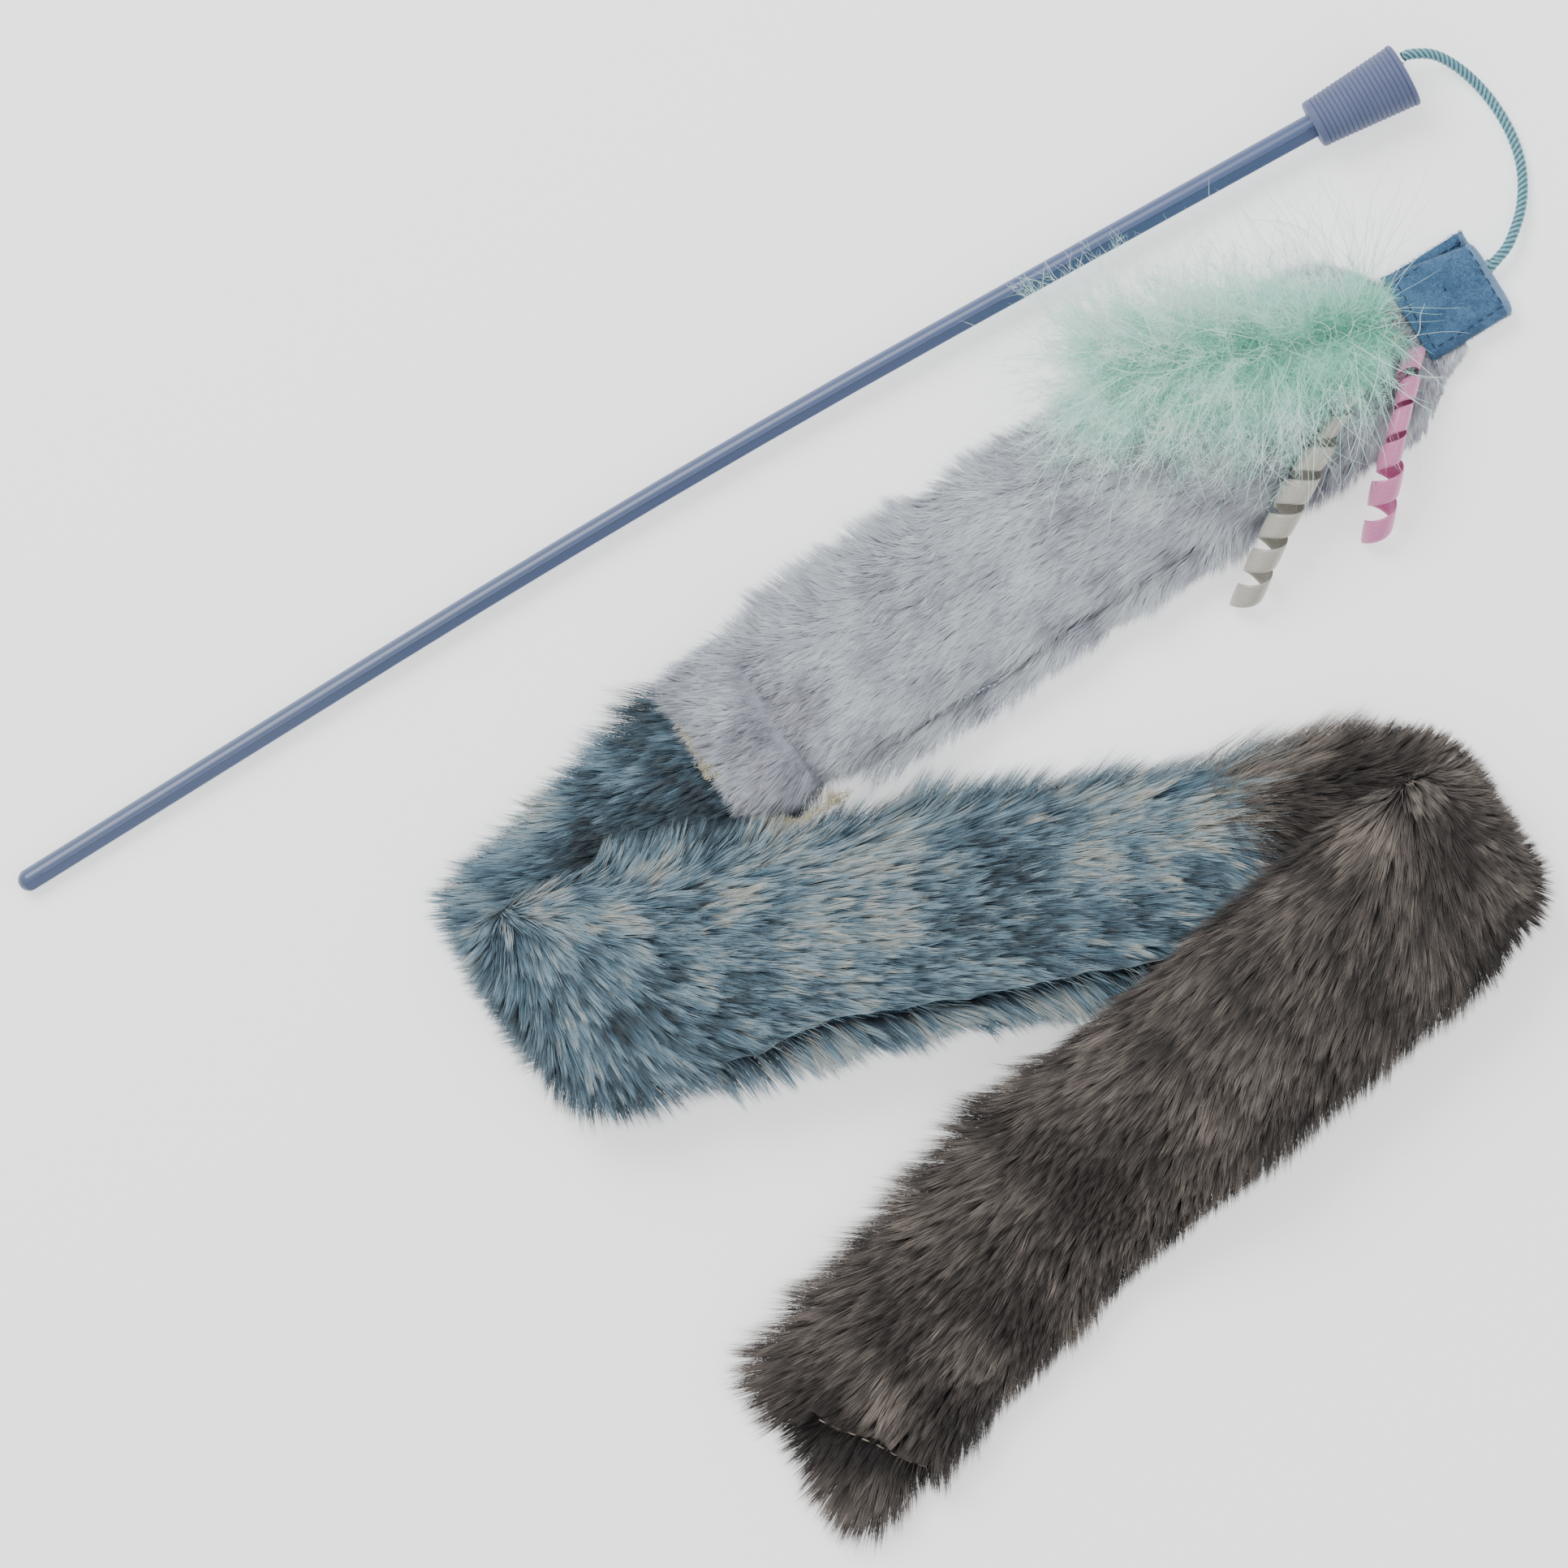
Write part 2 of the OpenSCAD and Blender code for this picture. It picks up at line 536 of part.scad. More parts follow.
module felt_fold() {
    translate([tab_x - fold_r, tab_y + tab_w / 2, leaf_mid]) rotate([90, 0, 0]) difference() {
        cylinder(r = fold_r, h = tab_w);
        translate([0, 0, -overrun]) cylinder(r = leaf_gap / 2, h = tab_w + 2 * overrun);
        translate([-2 * fold_r, -fold_r - overrun, -overrun])
            cube([2 * fold_r, 2 * (fold_r + overrun), tab_w + 2 * overrun]);
    }
}

module felt_tab() {
    color("#5e88b0") difference() {
        union() {
            translate([0, 0, floor_z + tab_lift]) felt_leaf(0);
            translate([0, 0, leaf_mid + leaf_gap / 2]) felt_leaf(leaf_skew);
            felt_fold();
        }
        translate(stub_start) rotate([0, -90, 0]) cylinder(r = cord_r + cord_clear, h = 2 * fold_r);
    }
}

module fur_grey() {
    color("#b9c0c8") loft(fur_rings(grey_shares, neck_x, grey_end, tab_y, tab_y, 0));
}

module fur_blue_upper() {
    color("#5d8199") loft(fur_rings(blue_upper_shares, grey_end + under_run, left_fold,
        tab_y, tab_y + left_fold_y, 0));
}

module fur_blue_lower() {
    color("#5d8199") loft(fur_rings(blue_lower_shares, left_fold, blue_end,
        between_folds(left_fold), between_folds(blue_end), left_step));
}

module fur_brown_upper() {
    color("#8f8580") loft(fur_rings(brown_upper_shares, brown_start, right_fold,
        between_folds(brown_start), between_folds(right_fold), 0));
}

module fur_brown_lower() {
    color("#8f8580") loft(fur_rings(brown_lower_shares, right_fold, tail_end,
        tab_y + right_fold_y, tab_y + tail_y, right_step));
}

module feather_quill() {
    color("#d8ede6") loft([for (i = [0 : len(quill_route) - 1])
        tube_ring(quill_route[i], run_dir(quill_route, i), quill_r * quill_shares[i][2], quill_sides)]);
}

module feather_down() {
    color("#9fe0cb") loft([for (row = down_shares) down_ring(row)]);
}

module pink_ribbon() {
    color("#e3a3c6") loft(ribbon_rings(pink_guides, pink_turns, pink_grow));
}

module grey_ribbon() {
    color("#b5b2aa") loft(ribbon_rings(grey_guides, grey_turns, grey_grow));
}

wand_rod();
tip_cap();
stopper_knot();
cord_root();
cord();
tab_knot();
felt_tab();
fur_grey();
fur_blue_upper();
fur_blue_lower();
fur_brown_upper();
fur_brown_lower();
feather_quill();
feather_down();
pink_ribbon();
grey_ribbon();
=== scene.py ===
"""The looks of a cat teaser wand: rod, ribbed cap, satin cord, felt tab, three colours of
faux fur, a marabou feather and two ribbon curls, dressed round the packed frame."""

import json
import math

import bmesh
import bpy
import numpy as np
from bpy.props import FloatProperty, FloatVectorProperty, IntProperty, PointerProperty
from mathutils import Matrix, Vector, kdtree
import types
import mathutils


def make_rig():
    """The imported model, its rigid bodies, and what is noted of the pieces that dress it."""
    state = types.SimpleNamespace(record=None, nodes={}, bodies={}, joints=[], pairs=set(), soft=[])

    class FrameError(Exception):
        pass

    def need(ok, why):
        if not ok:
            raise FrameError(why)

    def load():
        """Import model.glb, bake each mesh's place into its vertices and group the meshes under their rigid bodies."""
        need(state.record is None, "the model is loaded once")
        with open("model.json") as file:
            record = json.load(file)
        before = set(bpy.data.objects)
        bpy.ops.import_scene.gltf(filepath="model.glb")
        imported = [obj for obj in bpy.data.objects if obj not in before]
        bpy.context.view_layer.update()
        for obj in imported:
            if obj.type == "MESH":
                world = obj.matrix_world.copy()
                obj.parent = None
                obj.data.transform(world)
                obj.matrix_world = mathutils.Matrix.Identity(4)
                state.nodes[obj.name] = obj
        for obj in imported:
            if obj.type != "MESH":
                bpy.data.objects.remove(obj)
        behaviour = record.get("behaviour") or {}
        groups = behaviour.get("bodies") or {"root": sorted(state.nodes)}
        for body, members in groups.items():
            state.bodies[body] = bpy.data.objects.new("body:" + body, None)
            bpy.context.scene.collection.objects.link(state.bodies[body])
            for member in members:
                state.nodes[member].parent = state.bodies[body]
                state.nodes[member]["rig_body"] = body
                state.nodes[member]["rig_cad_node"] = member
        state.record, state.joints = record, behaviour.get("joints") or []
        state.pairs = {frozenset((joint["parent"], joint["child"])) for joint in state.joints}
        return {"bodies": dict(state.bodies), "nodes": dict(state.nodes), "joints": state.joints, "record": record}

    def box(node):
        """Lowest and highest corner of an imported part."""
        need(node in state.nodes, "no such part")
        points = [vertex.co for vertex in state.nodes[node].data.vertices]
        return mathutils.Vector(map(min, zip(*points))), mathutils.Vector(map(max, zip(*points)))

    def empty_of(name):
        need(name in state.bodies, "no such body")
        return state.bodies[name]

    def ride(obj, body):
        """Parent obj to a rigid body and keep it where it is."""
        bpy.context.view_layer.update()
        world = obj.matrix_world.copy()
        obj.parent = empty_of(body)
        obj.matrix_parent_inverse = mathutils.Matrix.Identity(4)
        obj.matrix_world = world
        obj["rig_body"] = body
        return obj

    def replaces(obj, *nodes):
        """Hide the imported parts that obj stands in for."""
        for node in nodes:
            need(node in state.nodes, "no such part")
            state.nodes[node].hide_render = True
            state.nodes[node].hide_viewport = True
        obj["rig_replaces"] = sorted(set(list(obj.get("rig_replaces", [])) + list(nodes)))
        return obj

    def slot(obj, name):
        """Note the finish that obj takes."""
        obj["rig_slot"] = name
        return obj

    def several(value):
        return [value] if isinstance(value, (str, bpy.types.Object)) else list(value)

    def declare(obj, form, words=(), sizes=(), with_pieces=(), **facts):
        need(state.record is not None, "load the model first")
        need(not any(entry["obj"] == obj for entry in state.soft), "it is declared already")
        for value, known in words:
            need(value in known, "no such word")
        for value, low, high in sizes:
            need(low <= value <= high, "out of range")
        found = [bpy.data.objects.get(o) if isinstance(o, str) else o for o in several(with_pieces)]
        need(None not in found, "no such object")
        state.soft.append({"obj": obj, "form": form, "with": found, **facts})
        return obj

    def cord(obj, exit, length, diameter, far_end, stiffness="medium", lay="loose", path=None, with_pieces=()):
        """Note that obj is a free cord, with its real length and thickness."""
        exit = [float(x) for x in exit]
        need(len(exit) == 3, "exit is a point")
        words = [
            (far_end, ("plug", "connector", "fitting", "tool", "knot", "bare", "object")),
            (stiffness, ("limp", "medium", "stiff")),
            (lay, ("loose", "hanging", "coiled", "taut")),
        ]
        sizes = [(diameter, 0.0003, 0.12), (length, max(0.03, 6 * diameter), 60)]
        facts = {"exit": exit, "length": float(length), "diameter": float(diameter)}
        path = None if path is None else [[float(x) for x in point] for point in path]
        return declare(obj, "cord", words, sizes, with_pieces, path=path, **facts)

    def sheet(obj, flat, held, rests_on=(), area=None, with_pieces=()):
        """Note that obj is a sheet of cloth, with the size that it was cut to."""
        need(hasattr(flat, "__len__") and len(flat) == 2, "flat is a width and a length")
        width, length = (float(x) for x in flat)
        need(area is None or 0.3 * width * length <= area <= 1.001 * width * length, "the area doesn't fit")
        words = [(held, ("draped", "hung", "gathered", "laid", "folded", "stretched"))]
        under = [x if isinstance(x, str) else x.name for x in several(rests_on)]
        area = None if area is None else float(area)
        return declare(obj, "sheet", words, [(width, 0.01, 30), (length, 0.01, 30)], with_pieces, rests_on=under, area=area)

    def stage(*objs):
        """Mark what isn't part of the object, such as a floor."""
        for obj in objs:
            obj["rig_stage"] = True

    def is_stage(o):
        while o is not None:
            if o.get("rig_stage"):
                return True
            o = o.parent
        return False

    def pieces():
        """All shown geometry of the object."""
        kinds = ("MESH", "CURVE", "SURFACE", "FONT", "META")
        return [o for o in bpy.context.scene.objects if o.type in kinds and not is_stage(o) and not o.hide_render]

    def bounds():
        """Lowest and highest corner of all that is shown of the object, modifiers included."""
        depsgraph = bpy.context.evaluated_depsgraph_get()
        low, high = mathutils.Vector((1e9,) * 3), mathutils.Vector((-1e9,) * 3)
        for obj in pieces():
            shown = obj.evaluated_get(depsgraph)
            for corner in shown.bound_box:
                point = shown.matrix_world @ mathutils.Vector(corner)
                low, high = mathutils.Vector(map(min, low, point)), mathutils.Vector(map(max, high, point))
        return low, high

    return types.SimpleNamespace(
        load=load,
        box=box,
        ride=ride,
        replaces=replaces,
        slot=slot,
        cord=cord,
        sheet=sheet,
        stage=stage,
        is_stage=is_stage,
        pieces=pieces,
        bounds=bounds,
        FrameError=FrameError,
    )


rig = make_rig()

bl_info = {
    "name": "Cat teaser wand",
    "version": (1, 0, 0),
    "blender": (4, 5, 0),
    "location": "3D View > Sidebar > Wand",
    "description": "Dresses the packed frame of a cat teaser wand",
    "category": "Add Mesh",
}

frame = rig.load()
CAD_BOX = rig.bounds()
FLOOR_Z = CAD_BOX[0][2]
# The pile of the undersides is pressed into a layer of this thickness
PRESSED_PILE = 0.0012
# Most strips that one piece holds
STRIPS_PER_PIECE = 64000
# A full turn, near enough for random phases
FULL_TURN = 6.28
# A seam parts the pile where the upward part of the skin's normal is larger than this
UPPER_SIDE = 0.55
# Width of a strip of the long piles, and half the thickness of the thread in the furs
LONG_PILE_WIDTH = 0.00019
THREAD_RADIUS = 0.0002


def linear(hex_colour):
    """An sRGB hex colour as linear red, green and blue."""
    parts = [int(hex_colour[i : i + 2], 16) / 255 for i in (0, 2, 4)]
    return tuple(c / 12.92 if c <= 0.04045 else ((c + 0.055) / 1.055) ** 2.4 for c in parts)


def colour(name, description, hex_colour):
    """A colour setting for a property group."""
    return FloatVectorProperty(
        name=name, description=description, subtype="COLOR", size=3, min=0, max=1,
        default=linear(hex_colour))


def length(name, description, metres):
    """A length setting for a property group."""
    return FloatProperty(
        name=name, description=description, default=metres, min=0, unit="LENGTH", precision=5)


class WandStage(bpy.types.PropertyGroup):
    """Camera, floor and light"""

    camera_height: length("Camera height", "Height of the camera above the wand", 2.1)
    view_width: length("View width", "Width that the picture shows", 0.4328)
    turn: FloatProperty(
        name="Turn", description="Turn of the picture against the grip's axis",
        default=math.radians(31.86), subtype="ANGLE")
    floor_colour: colour("Floor", "Colour of the floor", "FBFBFB")
    floor_glow: FloatProperty(
        name="Floor glow", description="Light that the floor gives off", default=0.8, min=0)


class WandPlastic(bpy.types.PropertyGroup):
    """Rod and cap"""

    rod: colour("Rod", "Colour of the rod", "4B5975")
    rod_tip: colour("Rod near the cap", "Colour of the rod near its cap", "44547A")
    cap: colour("Cap", "Colour of the ribbed cap", "5C6687")
    ridge_height: length("Parting ridge", "Height of the mould's parting ridge on the rod", 0.00016)


class WandCord(bpy.types.PropertyGroup):
    """Satin cord"""

    diameter: length("Diameter", "Diameter of the cord", 0.0031)
    lay: length("Lay", "Length of one full twist of the plies", 0.0064)
    plies: IntProperty(name="Plies", description="Number of twisted plies", default=4, min=2, max=6)
    # light: the plies' colour with a painted highlight on their ridges; dark: painted shade between the plies
    light: colour("Light", "Colour of the plies", "78B2BB")
    dark: colour("Dark", "Colour between the plies", "1F4453")


class WandFelt(bpy.types.PropertyGroup):
    """Felt tab"""

    thickness: length("Thickness", "Thickness of the felt", 0.0014)
    stitch: length("Stitch", "Length of a stitch and its gap", 0.0030)
    inset: length("Seam inset", "Distance of the stitches from the edge", 0.0022)
    light: colour("Light", "Light fibres of the felt", "4F7395")
    mid: colour("Middle", "Main colour of the felt", "406182")
    thread: colour("Thread", "Sewing thread of the tab", "16243A")


class WandFur(bpy.types.PropertyGroup):
    """Faux fur"""

    grey_pile: length("Grey pile", "Pile length of the grey fur", 0.0064)
    blue_pile: length("Blue pile", "Pile length of the blue fur", 0.0100)
    brown_pile: length("Brown pile", "Pile length of the brown fur", 0.0120)
    grey_density: FloatProperty(
        name="Grey density", description="Hairs per square millimetre", default=9.5, min=0.1)
    blue_density: FloatProperty(
        name="Blue density", description="Hairs per square millimetre", default=6.6, min=0.1)
    brown_density: FloatProperty(
        name="Brown density", description="Hairs per square millimetre", default=6.6, min=0.1)
    grey: colour("Grey", "Main colour of the grey fur", "C3CAD4")
    blue: colour("Blue", "Main colour of the blue fur", "5F7F92")
    brown: colour("Brown", "Main colour of the brown fur", "665E5A")


class WandFeather(bpy.types.PropertyGroup):
    """Marabou feather"""

    barbs: IntProperty(
        name="Barbs", description="Number of barbs on the quill", default=1350, min=10)
    barbules: IntProperty(
        name="Barbules", description="Number of barbules on each barb", default=58, min=1)
    reach: length("Reach", "Length of a usual barb", 0.030)
    mint: colour("Mint", "Colour of the down's core", "8BDCC4")
    pale: colour("Pale", "Colour of the barbs' tips", "F4FCF9")


class WandRibbon(bpy.types.PropertyGroup):
    """Curling ribbons"""

    width: length("Width", "Width of the ribbon", 0.0070)
    thickness: length("Thickness", "Thickness of the ribbon", 0.00035)
    radius: length("Curl radius", "Radius of the curls", 0.0039)
    pink: colour("Pink", "Colour of the pink ribbon", "D67FAF")
    grey: colour("Grey", "Colour of the grey ribbon", "B3B0A6")


def add_node(tree, kind, inputs=None, stops=None, **settings):
    """Adds a node. inputs maps a socket to a value or to another node's output."""
    made = tree.nodes.new(kind)
    for name, value in settings.items():
        setattr(made, name, value)
    for key, value in (inputs or {}).items():
        if isinstance(value, bpy.types.NodeSocket):
            tree.links.new(value, made.inputs[key])
        else:
            made.inputs[key].default_value = value
    if stops:
        elements = made.color_ramp.elements
        while len(elements) < len(stops):
            elements.new(0.5)
        for element, (place, shade) in zip(elements, stops):
            element.position = place
            element.color = (*shade, 1)
    return made


def new_material(name, roughness, specular=0.5, sheen=0.0):
    """A material with its shader's uniform values set. Gives the material, its tree and shader."""
    made = bpy.data.materials.new(name)
    made.use_nodes = True
    tree = made.node_tree
    shader = tree.nodes["Principled BSDF"]
    shader.inputs["Roughness"].default_value = roughness
    shader.inputs["Specular IOR Level"].default_value = specular
    shader.inputs["Sheen Weight"].default_value = sheen
    return made, tree, shader


def object_place(tree):
    """A piece's own coordinates, in metres."""
    return add_node(tree, "ShaderNodeTexCoord").outputs["Object"]


def noise(tree, place, scale, detail, distortion=0):
    """The factor of a noise texture."""
    inputs = {"Vector": place, "Scale": scale, "Detail": detail, "Distortion": distortion}
    return add_node(tree, "ShaderNodeTexNoise", inputs).outputs["Fac"]


def bands(tree, place, scale, distortion, direction, detail=2):
    """The factor of a banded wave texture."""
    inputs = {"Vector": place, "Scale": scale, "Distortion": distortion, "Detail": detail}
    return add_node(
        tree, "ShaderNodeTexWave", inputs, bands_direction=direction).outputs["Fac"]


def compute(tree, operation, *values):
    """The result of a calculation with sockets and numbers."""
    return add_node(
        tree, "ShaderNodeMath", dict(enumerate(values)), operation=operation).outputs[0]


def spread(tree, value, low, high, top=1):
    """0 where the value is low, and top where it is high."""
    return add_node(
        tree, "ShaderNodeMapRange",
        {"Value": value, "From Min": low, "From Max": high, "To Max": top}).outputs[0]


def ramp(tree, factor, stops):
    """The colour of a ramp at a factor."""
    return add_node(tree, "ShaderNodeValToRGB", {0: factor}, stops=stops).outputs["Color"]


def mix(tree, factor, *colours):
    """Blends two colours, each of them a socket or linear red, green and blue."""
    first, last = (c if isinstance(c, bpy.types.NodeSocket) else (*c, 1) for c in colours)
    return add_node(
        tree, "ShaderNodeMix", {"Factor": factor, "A": first, "B": last},
        data_type="RGBA").outputs["Result"]


def paint(tree, shader, shade):
    """Gives a shader its colour."""
    tree.links.new(shade, shader.inputs["Base Color"])


def emboss(tree, shader, height, strength, distance):
    """Gives a shader a fine relief."""
    bump = add_node(
        tree, "ShaderNodeBump", {"Height": height, "Strength": strength, "Distance": distance})
    tree.links.new(bump.outputs["Normal"], shader.inputs["Normal"])


def cover_node(node, material):
    """Gives a CAD node that is seen as it is its material."""
    slots = frame["nodes"][node].data.materials
    for k in range(len(slots)):
        slots[k] = material


def new_piece(name, mesh, material, body, slot, replaces=()):
    """Puts a finished mesh into the scene, riding on its body."""
    piece = bpy.data.objects.new(name, mesh)
    bpy.context.scene.collection.objects.link(piece)
    # This also sets the faces of a copied CAD mesh back to the first slot
    mesh.materials.clear()
    mesh.materials.append(material)
    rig.ride(piece, body)
    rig.slot(piece, slot)
    if replaces:
        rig.replaces(piece, *replaces)
    return piece


def mesh_of(name, bm, smooth=True):
    """A mesh from a bmesh, which is freed."""
    mesh = bpy.data.meshes.new(name)
    bm.to_mesh(mesh)
    bm.free()
    if smooth:
        mesh.polygons.foreach_set("use_smooth", [True] * len(mesh.polygons))
    return mesh


def unit(vectors):
    """Rows scaled to length one."""
    return vectors / np.maximum(np.linalg.norm(vectors, axis=-1, keepdims=True), 1e-12)


def smooth_step(values, low, high):
    """0 below low, 1 above high, and a smooth rise between."""
    t = np.clip((values - low) / (high - low), 0, 1)
    return t * t * (3 - 2 * t)


def in_metres(line):
    """A line of X and Y places in millimetres, in metres."""
    return [(x / 1000, y / 1000) for x, y in line]


def fall_off(distance, reach):
    """1 at no distance, and next to nothing at twice the reach."""
    return np.exp(-(distance / reach) ** 2)


def waves(points, size, seed):
    """Smooth noise of about unit size, with features as large as size, in metres."""
    rng = np.random.default_rng(seed)
    total = np.zeros(len(points))
    for _ in range(7):
        way = unit(rng.normal(size=3))
        turns = 2 * math.pi / (size * rng.uniform(0.7, 1.7))
        total += np.sin(points @ way * turns + rng.uniform(0, FULL_TURN))
    return total / 1.9


# Palette maps: u picks a hair's colour, v runs from its root to its tip
MAP_ROOT = 0.02
MAP_TIP = 0.09
MAP_HALF = 0.001


def strip_mesh(name, line, half, sides, tone):
    """A mesh of tapered strips. line: (hairs, levels, 3), half: half widths (hairs, levels - 1)."""
    hairs, levels, _ = line.shape
    body = levels - 1
    left = line[:, :body] - sides * half[:, :, None]
    right = line[:, :body] + sides * half[:, :, None]
    points = np.concatenate([left, right, line[:, body:]], axis=1)
    per_hair = 2 * body + 1
    corners, starts, at = [], [], 0
    for k in range(body - 1):
        corners += [k, body + k, body + k + 1, k + 1]
        starts.append(at)
        at += 4
    corners += [body - 1, 2 * body - 1, 2 * body]
    starts.append(at)
    at += 3
    corners = np.array(corners)
    first = np.arange(hairs)[:, None]
    loops = (corners[None, :] + first * per_hair).ravel()
    begin = (np.array(starts)[None, :] + first * at).ravel()
    share = np.arange(levels) / body
    v = MAP_ROOT + (MAP_TIP - MAP_ROOT) * np.concatenate([share[:body], share[:body], share[body:]])
    lean = np.concatenate([np.full(body, -MAP_HALF), np.full(body, MAP_HALF), [0]])
    uv = np.empty((hairs, per_hair, 2))
    uv[:, :, 0] = np.clip(tone, 0.01, 0.99)[:, None] + lean
    uv[:, :, 1] = v
    mesh = bpy.data.meshes.new(name)
    mesh.vertices.add(hairs * per_hair)
    mesh.vertices.foreach_set("co", points.astype(np.float32).ravel())
    mesh.loops.add(len(loops))
    mesh.loops.foreach_set("vertex_index", loops.astype(np.int32))
    mesh.polygons.add(len(begin))
    mesh.polygons.foreach_set("loop_start", begin.astype(np.int32))
    layer = mesh.uv_layers.new(name="OFBake")
    layer.data.foreach_set("uv", uv.reshape(-1, 2)[loops].astype(np.float32).ravel())
    mesh.update(calc_edges=True)
    mesh.polygons.foreach_set("use_smooth", [True] * len(mesh.polygons))
    return mesh


def tufts(roots, share, seed):
    """For each root, the index of the hair that leads its tuft."""
    rng = np.random.default_rng(seed)
    leaders = np.sort(rng.choice(len(roots), max(1, int(len(roots) * share)), replace=False))
    tree = kdtree.KDTree(len(leaders))
    for k in leaders:
        tree.insert(roots[k], int(k))
    tree.balance()
    return np.array([tree.find(p)[1] for p in roots])


def seam_side(points, seam):
    """How points lie to a seam line in millimetres: their signed distance, the way across the
    line there, and whether they are beside it rather than past an end."""
    line = np.array(seam) / 1000
    best = np.full(len(points), 1e9)
    signed = np.zeros(len(points))
    across = np.zeros((len(points), 3))
    beside = np.zeros(len(points), bool)
    for i in range(len(line) - 1):
        run = line[i + 1] - line[i]
        size = np.linalg.norm(run)
        way = run / size
        left = np.array([-way[1], way[0]])
        rel = points[:, :2] - line[i]
        t = rel @ way
        inside = (t >= 0) & (t <= size)
        held = np.clip(t, 0, size)
        gap = np.linalg.norm(rel - held[:, None] * way, axis=1)
        near = gap < best
        best[near] = gap[near]
        side = rel @ left
        signed[near] = (np.sign(side) * gap)[near]
        across[near, :2] = left
        first, last = i == 0, i == len(line) - 2
        beside[near] = (inside | ((t < 0) & (not first)) | ((t > size) & (not last)))[near]
    # No seam runs quite straight
    signed = signed + 0.0005 * waves(points * (1, 1, 0), 0.012, 5)
    return signed, across, beside


def rolled_edge(roots, normals, seam, outer, per_mm, rng):
    """Roots just outside a seam, where the pile rolls over the edge. outer: the seam's far side."""
    gap, across, beside = seam_side(roots, seam)
    near = np.flatnonzero((np.abs(gap) < 0.0025) & beside & (normals[:, 2] > 0.4))
    run = np.linalg.norm(np.diff(np.array(seam), axis=0), axis=1).sum()
    pick = rng.choice(near, int(run * per_mm))
    off = rng.uniform(0.0005, 0.0045, len(pick))
    base = roots[pick] + (outer * off - gap[pick])[:, None] * across[pick]
    base[:, 2] -= 0.0003 + off ** 2 * 110
    return base, unit(outer * across[pick] * 0.5 + (0, 0, 0.85))


def slope(inner, outer, high, low, count, rng):
    """Roots on a slope between two lines in millimetres. high, low: its height at each line."""
    along, down = rng.random(count) * (len(inner) - 1), rng.random(count)
    k = along.astype(int)
    part = (along - k)[:, None]
    a, b = np.array(inner, float), np.array(outer, float)
    start, end = a[k] + part * (a[k + 1] - a[k]), b[k] + part * (b[k + 1] - b[k])
    place = start + down[:, None] * (end - start)
    height = low + (high - low) * (1 - down ** 2)
    out = (end - start) / np.linalg.norm(end - start, axis=1, keepdims=True)
    normals = unit(np.column_stack([out * (0.7 * down)[:, None], np.full(count, 0.9)]))
    return np.column_stack([place, height]) / 1000, normals


def pile(name, roots, normals, lay, size, width, lift, tone, seed, tuft, pull, messy=0.10,
         roll=0.35, mottle=0.09, seams=(), seam_gap=0.00045, crossing=0.07):
    """Hairs that rise from their roots by the angle lift and lie down along lay.

    tuft: tufts to a hair, pull: how far a hair is drawn to its tuft, messy: spread of the
    directions, roll: most turn of a strip about itself, crossing: share of the hairs that
    cross a seam."""
    rng = np.random.default_rng(seed)
    hairs = len(roots)
    # A hair has two stretches, droops by this share to its tip, and few stand free of their tuft
    levels, droop, loose = 2, 0.75, 0.05
    leader = tufts(roots, tuft, seed + 1)
    # Hairs of one tuft share most of their turn and rise
    turn = rng.normal(0, messy, hairs)[leader] + rng.normal(0, messy * 0.6, hairs)
    rise = lift * (1 + rng.normal(0, 0.22, hairs)[leader] + rng.normal(0, 0.15, hairs))
    side = unit(np.cross(normals, lay))
    lay = lay * np.cos(turn)[:, None] + side * np.sin(turn)[:, None]
    line = np.zeros((hairs, levels + 1, 3))
    line[:, 0] = roots
    for k in range(levels):
        angle = rise * (1 - droop * (k + 0.5) / levels)
        way = lay * np.cos(angle)[:, None] + normals * np.sin(angle)[:, None]
        line[:, k + 1] = line[:, k] + way * (size / levels)[:, None]
    free = np.where(rng.random(hairs) < loose, 0.1, 1.0)
    for k in range(1, levels + 1):
        drawn = pull * free * (k / levels) ** 1.3
        line[:, k] += drawn[:, None] * (line[leader, k] - line[:, k])
    for seam in seams:
        own, _, beside = seam_side(roots, seam)
        beside &= (normals[:, 2] > UPPER_SIDE) & (np.abs(own) < 0.02)
        beside &= rng.random(hairs) > crossing
        for k in range(1, levels + 1):
            off, across, here = seam_side(line[:, k], seam)
            over = (off * np.sign(own) < seam_gap) & here & beside
            shift = (np.sign(own) * seam_gap - off)[over, None] * across[over]
            line[over, k] += shift
            line[over, k, 2] -= 0.0006 * k / levels
    low = FLOOR_Z + rng.uniform(0.0001, 0.0009, hairs)
    line[:, :, 2] = np.maximum(line[:, :, 2], low[:, None])
    way = unit(np.gradient(line, axis=1))[:, :levels]
    side = unit(np.cross(normals[:, None, :], way))
    up = np.cross(way, side)
    angle = rng.uniform(-roll, roll, hairs)[:, None, None]
    side = side * np.cos(angle) + up * np.sin(angle)
    taper = 1 - 0.5 * (np.arange(levels) / levels) ** 1.5
    half = width[:, None] / 2 * taper
    tone = tone + rng.normal(0, mottle, hairs)[leader] + rng.normal(0, 0.06, hairs)
    return strip_mesh(name, line, half, side, tone)


def comb(points, marks):
    """Blends the comb marks. Gives directions, tones and lifts at the points."""
    rows = np.array(marks, float)
    spot = rows[:, :2] / 1000
    far = ((points[:, None, :2] - spot[None]) ** 2).sum(2)
    weight = 1 / (far + 0.004 ** 2) ** 2
    weight /= weight.sum(1, keepdims=True)
    angle = np.radians(rows[:, 2])
    way = np.stack([weight @ np.cos(angle), weight @ np.sin(angle), np.zeros(len(points))], axis=1)
    return unit(way), weight @ rows[:, 3], np.radians(weight @ rows[:, 4])


